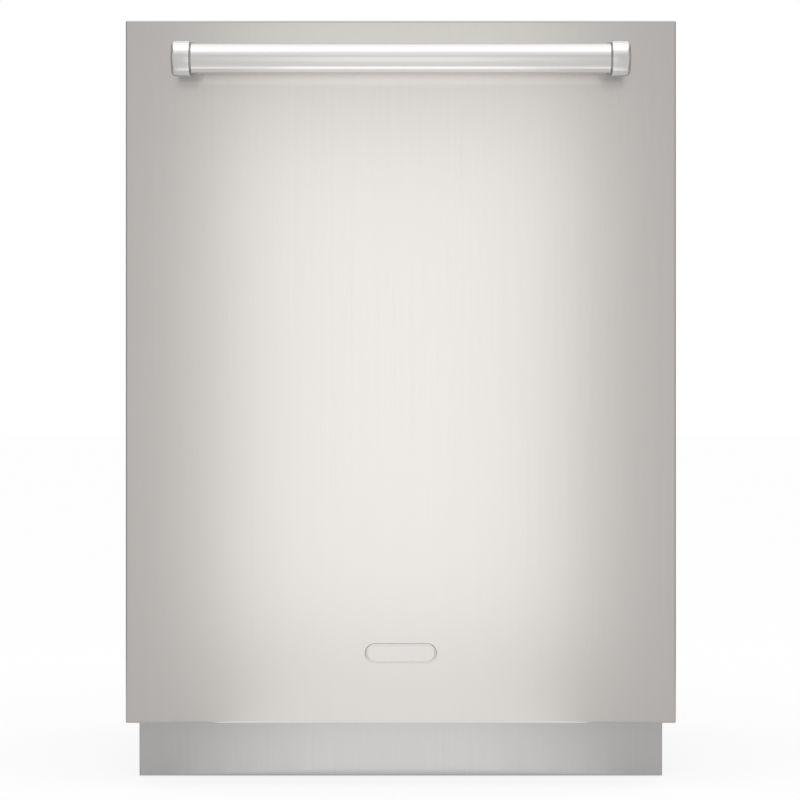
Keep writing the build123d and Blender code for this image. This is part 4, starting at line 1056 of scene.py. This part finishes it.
@dataclass
class FoldingRow:
    """The row of tines that folds down: straight wires with round tips on one axle wire."""

    x: float = -55.0
    axis_z: float = 206.114
    wire: float = 1.6
    tine: float = 60.2
    middle_y: float = 60.0
    half_row: float = 185.3
    half_axle: float = 213.3
    count: int = 12

    def build(self) -> None:
        """Makes the axle and the tines."""
        x, middle, z = self.x, self.middle_y, self.axis_z
        y = np.linspace(middle - self.half_row, middle + self.half_row, self.count)
        tines = wires(points_at(x, y, z), points_at(x, y, z + self.tine), self.wire, tips=True)
        axle = wires(points_at(x, middle - self.half_axle, z), points_at(x, middle + self.half_axle, z), self.wire)
        make("Folding_tines", tines + axle, NYLON_WIRE, "tine_row", ("fold_tines",), 60)


@dataclass
class Basket:
    """The cutlery basket: a rim, a base, upright slats with bands across them, and dividers."""

    low: Point = (148.4, -143.0, 203.7)
    high: Point = (238.6, 263.0, 301.7)
    wall: float = 2.2
    cells: int = 4
    slats: int = 27
    end_slats: int = 6
    bars: int = 36
    spines: int = 5
    corner: float = 6.0
    bands: tuple[Pair, ...] = ((0.0, 7.0), (45.0, 50.0), (90.0, 98.0))

    def band(self, low: float, high: float) -> Surface:
        """A rounded band right round the basket.

        Args:
            low: Where it starts, over the basket's foot.
            high: Where it ends.

        Returns:
            The ring.
        """
        size, middle = np.subtract(self.high, self.low)[:2], np.add(self.low, self.high)[:2] / 2
        outline = rounded_rectangle(*size, self.corner, 5)
        inset = np.array([0.8, 0.2, 0.2, 0.8, 1.0, self.wall, self.wall, 1.0, 0.8])[:, None, None]
        place = np.array([low, low + 0.7, high - 0.7, high, high, high - 0.3, low + 0.3, low, low])[:, None]
        shape = middle + outline * (1 - 2 * inset / size)
        return skin(points_at(shape[..., 0], shape[..., 1], self.low[2] + place), caps=False)

    def slatted_walls(self) -> Surface:
        """Thin upright slats round all four sides, from the foot to the rim."""
        (x0, y0, z0), (x1, y1, z1), half = self.low, self.high, self.wall / 2
        y = np.linspace(y0 + 9, y1 - 9, self.slats)
        x = np.linspace(x0 + 10, x1 - 10, self.end_slats)
        slat = block((-0.9, -1.8, z0 + 3), (0.9, 1.8, z1 - 3), 0.2, 0.5)
        end_slat = block((-1.8, -0.9, z0 + 3), (1.8, 0.9, z1 - 3), 0.2, 0.5)
        sides = [slat.repeated(points_at(side, y, 0)) for side in (x0 + half, x1 - half)]
        return joined([*sides, *[end_slat.repeated(points_at(x, side, 0)) for side in (y0 + half, y1 - half)]])

    def inside(self) -> Surface:
        """The base's bars both ways and the dividers between the cells."""
        (x0, y0, z0), (x1, y1, z1) = self.low, self.high
        near, far = x0 + 1.2, x1 - 1.2
        bar = block((near, -1.4, z0 + 0.3), (far, 1.4, z0 + 2.3), 0.3, 0.6, "x")
        spine = block((-1.4, y0 + 1, z0 + 0.2), (1.4, y1 - 1, z0 + 2.2), 0.3, 0.6, "y")
        divider = block((near, -1, z0 + 1), (far, 1, z1 - 4), 0.4, 0.8, "x")
        walls = np.linspace(y0 + 2, y1 - 2, self.cells + 1)[1:-1]
        bars = bar.repeated(points_at(0, np.linspace(y0 + 6, y1 - 6, self.bars), 0))
        spines = spine.repeated(points_at(np.linspace(near + 12, far - 12, self.spines), 0, 0))
        return joined([bars, spines, divider.repeated(points_at(0, walls, 0))])

    def build(self) -> None:
        """Makes the basket as one moulding, with bands at its foot, its middle and its rim."""
        bands = joined(self.band(low, high) for low, high in self.bands)
        whole = joined([bands, self.slatted_walls(), self.inside()])
        make("Cutlery_basket", whole, GREY_PP, "lower_rack_body", ("cutlery_basket",))


@dataclass
class RackWheels:
    """The six wheels: a hub, a thin web with ribs and a round-edged tread."""

    radius: float = 18.0
    half_width: float = 4.0
    hub: float = 6.0
    bore: float = 3.25
    rim: float = 14.6
    web: float = 1.2
    middle_x: float = 256.0
    z: float = 188.3
    places: tuple[float, ...] = (-87.0, 80.0, 247.0)
    ribs: int = 6

    def wheel(self, y: float) -> Surface:
        """The right wheel of an axle: half its section, the other half mirrored, and its ribs.

        Args:
            y: Where the axle is.

        Returns:
            The wheel.
        """
        r, w, hub, rim, web = self.radius, self.half_width, self.hub, self.rim, self.web
        half = [(self.bore, w), (hub - 0.4, w), (hub, w - 0.4), (hub, web), (rim - 0.4, web), (rim, w), (r - 1, w)]
        half += [(r - 0.3, w - 0.7), (r, w - 1.6)]
        profile = [(radius, -place) for radius, place in half] + half[::-1]
        centre = (self.middle_x, y, self.z)
        rib = block(np.add(centre, (-3.2, -0.8, 5.5)), np.add(centre, (3.2, 0.8, 14.8)), 0.2, 0.4, "x")
        ribs = [rib.swung(360 / self.ribs * turn, centre, "x") for turn in range(self.ribs)]
        return joined([turned(profile, centre, "x", 48, ring=True), *ribs])

    def build(self) -> None:
        """Makes a pair of wheels for each axle."""
        for number, (y, body) in enumerate(zip(self.places, ("front_wheels", "middle_wheels", "back_wheels"))):
            make(body.title(), self.wheel(y).paired(), GREY_PP, body, (f"rack_wheels_{number + 1}",), 35)


# Water parts and feet


@dataclass
class SprayArm:
    """A moulded arm: two tapering wings with a crowned top, a hub ring with its bore, and raised jets."""

    name: str
    body: str
    node: str
    radius: float
    low: float
    hub_up: float
    y: float = 49.0
    hub: float = 26.0
    tip: float = 13.0
    thickness: float = 10.0
    bore: float = 12.15
    wing_sides: int = 28
    squareness: Point = (0.55, 0.8, 0.35)
    jets: tuple[tuple[float, int], ...] = ((0.26, -1), (0.42, 1), (0.58, -1), (0.74, 1), (0.88, -1))
    jet_turn: float = 35.0

    def wing(self) -> Surface:
        """The right wing: superellipse sections whose half width falls evenly and closes round the tip."""
        reach, (sides, over, under) = self.radius - self.tip, self.squareness
        x = np.concatenate([np.linspace(13.2, reach, 22), reach + self.tip * np.sin(np.linspace(0.12, 1.53, 12))])
        width = self.hub - (self.hub - self.tip) * x / reach
        width = np.where(x > reach, np.sqrt(np.maximum(self.tip**2 - (x - reach) ** 2, 0.0)), width)
        crown = np.minimum(1.0, 0.35 + width / self.tip * 0.8)
        angle = np.arange(self.wing_sides) * TURN / self.wing_sides
        across = np.sign(np.cos(angle)) * np.abs(np.cos(angle)) ** sides
        up = np.sign(np.sin(angle)) * np.abs(np.sin(angle)) ** np.where(np.sin(angle) > 0, over, under)
        z = self.low + self.thickness / 2 + up * self.thickness / 2 * crown[:, None]
        return skin(points_at(x[:, None], self.y + across * width[:, None], z))

    def hub_ring(self) -> Surface:
        """The ring round the bore, with a step up to a narrower collar and a bevelled lip."""
        t, up = self.thickness, self.thickness + self.hub_up
        profile = [(self.bore, 0.0), (self.hub - 1.5, 0.0), (self.hub - 0.6, 1.2), (self.hub - 0.6, t - 3.0)]
        profile += [(self.hub - 3.0, t - 0.4), (20.2, t), (19.6, up - 0.5), (18.8, up), (self.bore, up)]
        return turned(profile, (0, self.y, self.low), "z", 64, ring=True)

    def along_wing(self, low: Point, high: Point, edge: float, corner: float) -> Surface:
        """One small block on the wing's top at each jet, each turned a little.

        Args:
            low: The block's lowest corner, from the jet's place.
            high: Its highest corner.
            edge: Radius of its ends' edges.
            corner: Radius of its upright edges.

        Returns:
            All the blocks of one wing.
        """
        made = []
        for share, side in self.jets:
            place = (self.radius * share, self.y + side * 4, self.low + self.thickness)
            jet = block(np.add(place, low), np.add(place, high), edge, corner)
            made.append(jet.swung(self.jet_turn * side, place))
        return joined(made)

    def build(self) -> None:
        """Makes both halves of the arm and its ring, and thin dark strips in the jets: painted shade for the jets' open
        slots.
        """
        centre = (0, self.y, 0)
        half = self.wing() + self.along_wing((-5.5, -2.6, -1.6), (5.5, 2.6, 0.9), 0.7, 2.4)
        # Thin dark strips on the jets: painted shade where the slots open into the arm.
        slots = self.along_wing((-3.8, -0.7, 0.5), (3.8, 0.7, 0.95), 0.1, 0.6)
        arm = joined([half, half.swung(180, centre), self.hub_ring()])
        make(self.name, arm, GREY_PP, self.body, (self.node,), 42)
        make(f"{self.name}_slots", slots + slots.swung(180, centre), DARK_PP, self.body, (self.node,))


@dataclass
class Feet:
    """The levelling feet: a ribbed pad, a hexagon for the spanner and a threaded stem."""

    pad: float = 20.0
    stem: float = 4.95
    thread_low: float = 12.0
    high: float = 74.0
    pitch: float = 2.0
    depth: float = 0.75
    ribs: int = 12
    half_x: float = 242.0
    front_y: float = -72.0
    back_y: float = 286.0

    def foot(self) -> Surface:
        """One foot at X 0, Y 0."""
        r = self.pad
        profile = [(r - 1.0, 0), (r - 0.2, 0.6), (r, 1.6), (r - 0.5, 3.6), (r - 4, 5.2), (11, 6.6), (9.6, 8.1)]
        pad = turned([*profile, (5, 8.2)], (0, 0, 0), "z", 48)
        rib = block((9, -1.1, 3.0), (18.2, 1.1, 6.3), 0.5, 0.8)
        ribs = [rib.swung(360 / self.ribs * turn, (0, 0, 0)) for turn in range(self.ribs)]
        nut = turned([(8.2, 8), (9, 8.7), (9, 11.4), (8.2, 12)], (0, 0, 0), "z", 6)
        z = np.arange(self.thread_low, self.high, self.pitch / 2)
        size = np.where(np.arange(len(z)) % 2, self.stem, self.stem - self.depth)
        thread = turned([*zip(size, z), (self.stem - 0.9, self.high)], (0, 0, 0), "z", 24)
        return joined([pad, *ribs, nut, thread])

    def build(self) -> None:
        """Makes the two front feet and the pair at the back."""
        x = self.half_x
        places = {
            "foot_left": ("front_foot_left", [-x], self.front_y),
            "foot_right": ("front_foot_right", [x], self.front_y),
            "feet_rear": ("rear_feet", [-x, x], self.back_y),
        }
        for body, (node, sides, y) in places.items():
            make(body.title(), self.foot().repeated(points_at(sides, y, 0)), DARK_PP, body, (node,), 35)


# Seals, felt and springs


@dataclass
class Linings:
    """The soft pieces: the tub's bulb seal and felt blanket, the door's lip and felt pad."""

    seal_x: float = 280.5
    seal_y: float = -183.3
    seal_low: float = 175.0
    seal_high: float = 812.5
    seal_radius: float = 4.3
    seal_bend: float = 16.0
    lip_half: float = 256.0
    blanket_half: float = 270.0
    blanket_front: float = -138.0
    blanket_back: float = 315.9
    blanket_top: float = 811.8
    blanket_low: float = 219.0
    blanket_bend: float = 11.0
    blanket_out: float = 2.5
    blanket_in: float = 3.1
    pad_y: Pair = (-241.7, -202.2)
    pad_edge: float = 5.0
    pad_size: Point = (686.2, 560.0, 10.0)
    pad_z: float = 443.1
    window_size: Point = (136.6, 186.6, 8.0)
    window_z: float = 430.0

    def bulb(self) -> Surface:
        """The round bulb up both sides and over the top of the tub's mouth."""
        x, y, low, high = self.seal_x, self.seal_y, self.seal_low, self.seal_high
        corners = [(-x, y, low), (-x, y, high), (x, y, high), (x, y, low)]
        return tube(rounded_path(corners, self.seal_bend, steps=10), self.seal_radius, (0, 1, 0), sides=16)

    def lip(self) -> Surface:
        """The door's lip: a flat foot and a curved blade, one profile along X."""
        outline = [(-190.0, 173.2), (-190.0, 182), (-187.6, 182), (-186.6, 180.6), (-187.0, 179.2), (-188.4, 179.4)]
        return extruded(np.array([*outline, (-188.4, 173.2)]), "x", -self.lip_half, self.lip_half, 0.3)

    def blanket(self) -> Surface:
        """The felt over the tub and down its back: an L-shaped section whose outer face rolls by a millimetre.

        The roll is 0.5 * sin(x / 37 + s / 23) + 0.4 * sin(x / 61 - s / 41), where s is the length along the section.
        """
        top, back = self.blanket_top, self.blanket_back
        corners = [(self.blanket_front, top), (back, top), (back, self.blanket_low)]
        middle = rounded_path(corners, self.blanket_bend, steps=8)
        s = np.concatenate([[0], np.cumsum(np.linalg.norm(np.diff(middle, axis=0), axis=1))])
        even = np.concatenate([np.linspace(0, s[1], 40)[:-1], s[1:-1], np.linspace(s[-2], s[-1], 50)])
        path = np.stack([np.interp(even, s, middle[:, axis]) for axis in (0, 1)], axis=1)
        way = unit(np.gradient(path, axis=0))
        normal = np.stack([-way[:, 1], way[:, 0]], axis=1)
        across = np.array([-1, -0.995, -0.985, *np.linspace(-0.97, 0.97, 54), 0.985, 0.995, 1])
        x = across[:, None] * self.blanket_half
        thin = self.thinned(np.minimum(even, even[-1] - even)) * self.thinned(self.blanket_half - np.abs(x))
        roll = 0.5 * np.sin(x / 37 + even / 23) + 0.4 * np.sin(x / 61 - even / 41)
        faces = []
        for offset, order in (((self.blanket_out + roll) * thin, 1), (-self.blanket_in * thin, -1)):
            place = path + offset[..., None] * normal
            faces.append(points_at(x, place[..., 0], place[..., 1])[:, ::order])
        return skin(np.concatenate(faces, axis=1))

    @staticmethod
    def thinned(distance: np.ndarray) -> np.ndarray:
        """How thick felt is near its edge, where 1 is its full thickness: 1/4 at the edge, 1 from 4.5 mm on."""
        return np.minimum(1.0, distance / 6.0 + 0.25)

    def pad(self) -> Surface:
        """The door's felt: rings round its outside, across its back and round the dispenser's window."""
        soft, rise = quarter_round(self.pad_edge, 3)
        inset = 2 * np.concatenate([soft, soft[::-1]])
        place = np.concatenate([self.pad_y[0] + rise, self.pad_y[1] - rise[::-1]])
        (tall, wide, corner), (high, broad, bend) = self.pad_size, self.window_size
        outer = lofted(tall - inset, wide - inset, corner - inset / 2, place, (0, 0, self.pad_z), "y", 5)
        inner = lofted(high + inset, broad + inset, bend + inset / 2, place, (0, 0, self.window_z), "y", 5)
        return skin(np.concatenate([outer, inner[::-1], outer[:1]]), caps=False)

    def build(self) -> None:
        """Makes the seals and the felt."""
        make("Tub_bulb_seal", self.bulb(), EPDM_RUBBER, "cabinet", ("tub_gasket",))
        make("Door_lip_seal", self.lip(), EPDM_RUBBER, "door", ("door_seal",), 50)
        blanket = make("Tub_felt_blanket", self.blanket(), NEEDLED_FELT, "cabinet", ("tub_blanket",), 60)
        felt = make("Door_felt_pad", self.pad(), NEEDLED_FELT, "door", ("door_insulation",), 60)


@dataclass
class DoorSpring:
    """A balance spring: a helix of radius r, point (r cos a, pitch a / turn, r sin a), and the wire that pulls it.

    The real wire's front end follows the door's arm and its back end stays with the cabinet; here the wire stays where
    it is made, on no body.
    """

    x: float = 287.5
    start: Pair = (-164.7, 114.4)
    joint: Pair = (1.3, 107.0)
    end: Pair = (179.3, 99.0)
    coil: float = 4.6
    coil_wire: float = 0.85
    link_wire: float = 1.2
    turns: int = 74
    turn_steps: int = 10
    bend: Pair = (-120.0, -155.0)

    def helix(self) -> Surface:
        """The right coil."""
        joint, end = np.array(self.joint), np.array(self.end)
        way = unit(end - joint)
        share = np.linspace(0, 1, self.turns * self.turn_steps + 1)
        angle = share * self.turns * TURN
        place = joint + np.outer(share, end - joint) + np.outer(self.coil * np.sin(angle), [-way[1], way[0]])
        line = points_at(self.x + self.coil * np.cos(angle), place[:, 0], place[:, 1])
        return tube(line, self.coil_wire, (0.0, *way), sides=6)

    def link(self) -> Surface:
        """The right wire, with points every 4 mm, and a hook into the coil."""
        start, joint = np.array(self.start), np.array(self.joint)
        place = start + np.linspace(0, 1, 42)[:, None] * (joint - (3, -0.15) - start)
        line = points_at(self.x, place[:, 0], place[:, 1])
        hook = [(self.x + 2.0, *(joint - (1.6, 0))), (self.x + self.coil, *joint)]
        return tube(np.vstack([line, hook]), self.link_wire, (1, 0, 0), sides=8)

    def build(self, side: int, word: str) -> None:
        """Makes the spring of one side.

        Args:
            side: -1 for the left spring, 1 for the right one.
            word: "left" or "right".
        """
        coil, link = self.helix(), self.link()
        if side < 0:
            coil, link = coil.mirrored(), link.mirrored()
        node = (f"door_spring_{word}",)
        make(f"Door_spring_coil_{word}", coil, ZINC_WIRE, "cabinet", node, 70)
        wire = make(f"Door_spring_link_{word}", link, ZINC_WIRE, "", node, 70)
        near, far = (tuple(MM * v for v in (side * self.x, y, self.start[1])) for y in self.bend)
        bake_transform(wire)
        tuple(near)
        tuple(far)


# Dispenser


@dataclass
class Dispenser:
    """The sliding lid with its ribs and thumb ridge, and the quarter-turn cap."""

    lid_centre: Point = (-34.0, -195.2, 404.0)
    half_width: float = 41.6
    half_height: float = 31.0
    cap_centre: Point = (52.0, -198.0, 434.0)
    cap_radius: float = 20.9

    def lid(self) -> Surface:
        """A thin rounded plate with shallow ribs and a rounded thumb ridge."""
        x, y, z = self.lid_centre
        wide, tall = self.half_width, self.half_height
        plate = block((x - wide, y, z - tall), (x + wide, y + 2.2, z + tall), 0.6, 4.0, "y")
        ridge = block((x - 16, y + 1.6, z - 7), (x + 16, y + 4.4, z - 2), 1.2, 1.6, "y")
        rib = block((x - 24, y + 1.8, z), (x + 24, y + 2.9, z + 1.6), 0.4, 0.7, "y")
        return joined([plate, ridge, rib.repeated(points_at(0, 0, (8, 13, 18)))])

    def cap(self) -> Surface:
        """A turned disc with a raised rim, a bar to grip and a small pointer."""
        x, y, z = self.cap_centre
        r = self.cap_radius
        profile = [(r, -10.8), (r, 2.6), (r - 0.6, 3.4), (r - 2.6, 3.5), (r - 3.2, 2.2), (r - 8, 1.9), (0.01, 1.9)]
        grip = block((x - 17, y + 1.2, z - 3), (x + 17, y + 7.5, z + 3), 1.3, 2.6, "y")
        mark = block((x - 1, y + 1.5, z + 10), (x + 1, y + 2.7, z + 16), 0.3, 0.8, "y")
        return joined([turned(profile, self.cap_centre, "y", 64), grip, mark])

    def build(self) -> None:
        """Makes the lid and the cap."""
        make("Detergent_lid", self.lid(), GREY_PP, "detergent_lid", ("dispenser_lid",))
        make("Rinse_aid_cap", self.cap(), MATT_ABS, "rinse_cap", ("rinse_aid_cap",), 35)


# Camera, floor and light, in metres


POLISHED = ("Handle_tube", "Handle_collars")
UNSHADED = (*POLISHED, "Handle_posts")
KICK_WIDTHS = (0.50, 0.46, 0.40, 0.33, 0.23)
BAR_WIDTHS = (0.58, 0.44, 0.28)
BAR_PLACE = (0.0, -0.31, 0.78)
SKY_WIDTH = 1.6
SKY_DISTANCE = 1.29
SKY_TOP = 84.0
SKY_STEPS = ((21.0, 0.12), (28.5, 0.15), (36.0, 0.22), (44.0, 0.33), (53.0, 0.3))
WHITE = (1.0, 1.0, 1.0, 1.0)


@dataclass(frozen=True)
class Lamp:
    """A soft rectangular lamp that the camera doesn't see.

    With several widths it is a set of lamps, one a little in front of the other, that grows weaker towards its sides.
    Lamps in one plane would count only once in a reflection. Light linking does what flags on stands would.
    """

    name: str
    place: Point
    aim: Point
    widths: tuple[float, ...]
    depth: float
    level: float
    only: tuple[str, ...] = ()
    never: tuple[str, ...] = ()
    unshaded: tuple[str, ...] = ()
    step: float = 0.0015

    def build(self) -> None:
        """Hangs the lamp. Its power is its level times pi times its area; the white surroundings have level 1."""
        way = Vector(self.aim) - Vector(self.place)
        for number, width in enumerate(self.widths):
            name = f"{self.name}_{number + 1}" if len(self.widths) > 1 else self.name
            data = bpy.data.lights.new(name, "AREA")
            data.shape = "RECTANGLE"
            data.size, data.size_y = width, self.depth
            data.energy = self.level / len(self.widths) * np.pi * width * self.depth
            made = bpy.data.objects.new(name, data)
            made.location = Vector(self.place) + way.normalized() * number * self.step
            made.rotation_euler = way.to_track_quat("-Z", "Y").to_euler()
            made.visible_camera = False
            bpy.context.scene.collection.objects.link(made)
            self.link(made, "receiver", "INCLUDE", self.only)
            self.link(made, "receiver", "EXCLUDE", self.never)
            self.link(made, "blocker", "EXCLUDE", self.unshaded)

    def link(self, lamp: bpy.types.Object, kind: str, state: str, pieces: tuple[str, ...]) -> None:
        """Chooses the pieces that a lamp lights or that shade it.

        Args:
            lamp: The lamp.
            kind: "receiver" for what it lights, "blocker" for what shades it.
            state: "INCLUDE" or "EXCLUDE".
            pieces: Names of the pieces, or none to leave all as it is.
        """
        if not pieces:
            return
        chosen = bpy.data.collections.new(f"{lamp.name}_{kind}")
        for name in pieces:
            chosen.objects.link(bpy.data.objects[name])
        setattr(lamp.light_linking, f"{kind}_collection", chosen)
        for entry in chosen.collection_objects:
            entry.light_linking.link_state = state


def bar_sky() -> list[Lamp]:
    """Lamps over the bar, each from its own angle up, so that the bar's upper highlight fades out downwards.

    Returns:
        The lamps. The angles are in degrees over the horizon, seen from the bar.
    """
    made = []
    for number, (low, level) in enumerate(SKY_STEPS):
        middle, half = np.radians((SKY_TOP + low) / 2), np.radians((SKY_TOP - low) / 2)
        distance = SKY_DISTANCE - number * Lamp.step
        place = tuple(np.add(BAR_PLACE, (0, -distance * np.cos(middle), distance * np.sin(middle))))
        depth = 2 * distance * np.tan(half)
        made.append(Lamp(f"Handle_sky_{number + 1}", place, BAR_PLACE, (SKY_WIDTH,), depth, level, POLISHED))
    return made


# The polished handle would clip in the panel's lamps, so it has its own, which draw the bands along the bar.
LAMPS = (
    Lamp("Front_softbox", (0, -1.46, 0.45), (0, -0.26, 0.45), (0.58,), 0.78, 0.58, (), POLISHED, UNSHADED),
    Lamp("Front_tall_softbox", (0, -1.46, 0.55), (0, -0.26, 0.55), (0.54,), 1.14, 0.58, (), POLISHED, UNSHADED),
    Lamp("Low_bounce", (0, -0.82, 0.001), (0, -0.82, 1), (0.42,), 1.26, 0.68, (), (*POLISHED, "Kick_sheet")),
    Lamp("Kick_bounce", (0, -0.82, 0.001), (0, -0.82, 1), KICK_WIDTHS, 1.26, 0.70, ("Kick_sheet",)),
    Lamp("Handle_bounce", (0, -0.39, 0.002), (0, -0.39, 1), (0.7, 0.34), 0.42, 0.98, POLISHED),
    Lamp("Handle_floor", (0, -1.11, 0.0085), (0, -1.11, 1), BAR_WIDTHS, 0.98, 0.27, POLISHED),
    Lamp("Handle_front", (0, -1.46, 0.50), BAR_PLACE, BAR_WIDTHS, 0.72, 0.57, POLISHED),
    Lamp("Handle_front_high", (0, -1.46, 1.24), (0, -0.31, 1.24), BAR_WIDTHS, 0.74, 0.27, POLISHED),
    *bar_sky(),
    Lamp("Handle_back_sky", (0, 0.95, 2.3), (0, 0.95, 0.5), (2.4,), 1.3, 0.42, POLISHED),
    Lamp("Handle_top", (0, 0.05, 2.29), (0, 0.05, 0.5), (2.4,), 0.5, 0.42, POLISHED),
    Lamp("Handle_panel_glow", (0, -0.268, 0.59), (0, -1, 0.59), (0.56,), 0.28, 0.5, POLISHED),
    Lamp("Handle_glow", (0, -0.29, 0.772), (0, -0.262, 0.768), (0.48,), 0.012, 0.35, ("Door_panel_sheet",)),
    Lamp("Top_softbox", (0, -0.5, 2.3), (0, -0.35, 0.5), (2.4,), 1.6, 0.6),
)


def flagged(tree: Tree, *rays: str) -> Node | bpy.types.NodeSocket:
    """Tells some kinds of ray from the others.

    Args:
        tree: The node tree.
        rays: The kinds, named as the light path's outputs are.

    Returns:
        1 for rays of these kinds, 0 for others.
    """
    outputs = add(tree, "LightPath").outputs
    flag = outputs[rays[0]]
    for ray in rays[1:]:
        flag = add(tree, "Math", {"operation": "MAXIMUM"}, {0: flag, 1: outputs[ray]})
    return flag


@dataclass
class Studio:
    """A pale floor, white surroundings, soft lamps and the photograph's camera."""

    door_y: float = -0.262
    distance: float = 3.0
    height: float = 0.4205
    aside: float = -0.0009
    field: float = 0.8676
    sensor: float = 36.0
    floor_half: float = 30.0
    floor_share: float = 0.8
    floor_level: float = 1.05
    world_level: float = 0.8
    card_x: float = 0.75
    card_half: float = 0.6
    card_low: float = 0.02
    card_high: float = 1.3
    card_level: float = 0.5

    def camera(self) -> None:
        """A level camera straight in front of the door, its field set by its distance."""
        data = bpy.data.cameras.new("Front_camera")
        data.sensor_width = self.sensor
        data.lens = self.distance / self.field * self.sensor
        data.clip_end = 100.0
        seen = bpy.data.objects.new("Front_camera", data)
        seen.location = (self.aside, self.door_y - self.distance, self.height)
        seen.rotation_euler = (np.pi / 2, 0.0, 0.0)
        bpy.context.scene.collection.objects.link(seen)
        bpy.context.scene.camera = seen

    def staged(self, name: str, corners: list[Point], material: bpy.types.Material) -> bpy.types.Object:
        """A flat piece of the studio.

        Args:
            name: Its name.
            corners: Its four corners.
            material: What it is made of.

        Returns:
            The new object.
        """
        mesh = bpy.data.meshes.new(name)
        mesh.from_pydata(corners, [], [(0, 1, 2, 3)])
        mesh.materials.append(material)
        piece = bpy.data.objects.new(name, mesh)
        bpy.context.scene.collection.objects.link(piece)
        return piece

    def floor(self) -> None:
        """A wide pale floor: most of it shines plain white for the camera, and the rest takes light and shadow."""
        made = bpy.data.materials.new("Pale_painted_floor")
        tree = empty_tree(made)
        seen = flagged(tree, "Is Camera Ray", "Is Glossy Ray")
        share = add(tree, "Math", {"operation": "MULTIPLY", 1: self.floor_share}, {0: seen})
        place = add(tree, "TexCoord").outputs["Object"]
        noise = add(tree, "TexNoise", {"Scale": 3.0, "Detail": 5.0}, {"Vector": place})
        tone = add(tree, "Mix", {"data_type": "RGBA", 6: linear("F2F2F2"), 7: linear("FAFAFA")}, {0: noise})
        matt = add(tree, "BsdfDiffuse", {}, {"Color": tone.outputs[2]})
        shine = add(tree, "Emission", {"Color": WHITE, "Strength": self.floor_level})
        add(tree, "OutputMaterial", links={"Surface": add(tree, "MixShader", {}, {0: share, 1: matt, 2: shine})})
        far = self.floor_half
        self.staged("Studio_floor", [(-far, -far, 0), (far, -far, 0), (far, far, 0), (-far, far, 0)], made)

    def surroundings(self) -> None:
        """White for the camera and for reflections, and a plain level for the light that it casts."""
        world = bpy.data.worlds.new("Studio_surroundings")
        tree = empty_tree(world)
        seen = flagged(tree, "Is Camera Ray", "Is Glossy Ray", "Is Transmission Ray")
        cast = add(tree, "Background", {"Color": WHITE, "Strength": self.world_level})
        shown = add(tree, "Background", {"Color": WHITE, "Strength": 1.0})
        add(tree, "OutputWorld", links={"Surface": add(tree, "MixShader", {}, {0: seen, 1: cast, 2: shown})})
        bpy.context.scene.world = world

    def side_card(self, name: str, x: float) -> None:
        """A plain grey card that only reflections show: it draws the edges of the polished metal.

        Args:
            name: Name of the card.
            x: Where it stands.
        """
        made = bpy.data.materials.new(f"{name}_paper")
        tree = empty_tree(made)
        shine = add(tree, "Emission", {"Color": WHITE, "Strength": self.card_level})
        add(tree, "OutputMaterial", links={"Surface": shine})
        half, low, high = self.card_half, self.card_low, self.card_high
        piece = self.staged(name, [(x, -half, low), (x, half, low), (x, half, high), (x, -half, high)], made)
        for way in ("camera", "diffuse", "transmission", "volume_scatter", "shadow"):
            setattr(piece, f"visible_{way}", False)

    def build(self) -> None:
        """Sets up the camera, the floor, the surroundings and the lamps round the finished pieces."""
        bpy.context.scene.view_settings.view_transform = "Standard"
        self.camera()
        self.floor()
        self.surroundings()
        for lamp in LAMPS:
            lamp.build()
        self.side_card("Side_card_left", -self.card_x)
        self.side_card("Side_card_right", self.card_x)


def main() -> None:
    """Builds every sub-assembly in order, and the studio round them."""
    logging.basicConfig(level=logging.INFO, format="%(name)s: %(message)s")
    parts = [
        DoorPanel(),
        Handle(),
        Plate(),
        Kick(),
        LowerRack("Lower_rack", "lower_rack_body", "lower_rack", 200.0, 92.0, (-203.3, -128.3), 12, 30.0, 62.0),
        UpperRack("Upper_rack", "upper_rack_body", "upper_rack", 530.0, 104.0, (-96.0, 96.0), 9, 25.0, 46.0),
        FoldingRow(),
        Basket(),
        RackWheels(),
        SprayArm("Lower_spray_arm", "lower_arm", "lower_spray_arm", 196.0, 177.0, 2.0),
        SprayArm("Middle_spray_arm", "middle_arm", "middle_spray_arm", 205.0, 497.0, 3.0),
        SprayArm("Top_spray_arm", "top_arm", "top_spray_arm", 150.0, 777.0, 3.0),
        Feet(),
        Linings(),
    ]
    for part in parts:
        part.build()
    for side, word in ((-1, "left"), (1, "right")):
        DoorSpring().build(side, word)
    Dispenser().build()
    dress_kept()
    Studio().build()


if __name__ == "__main__":
    main()
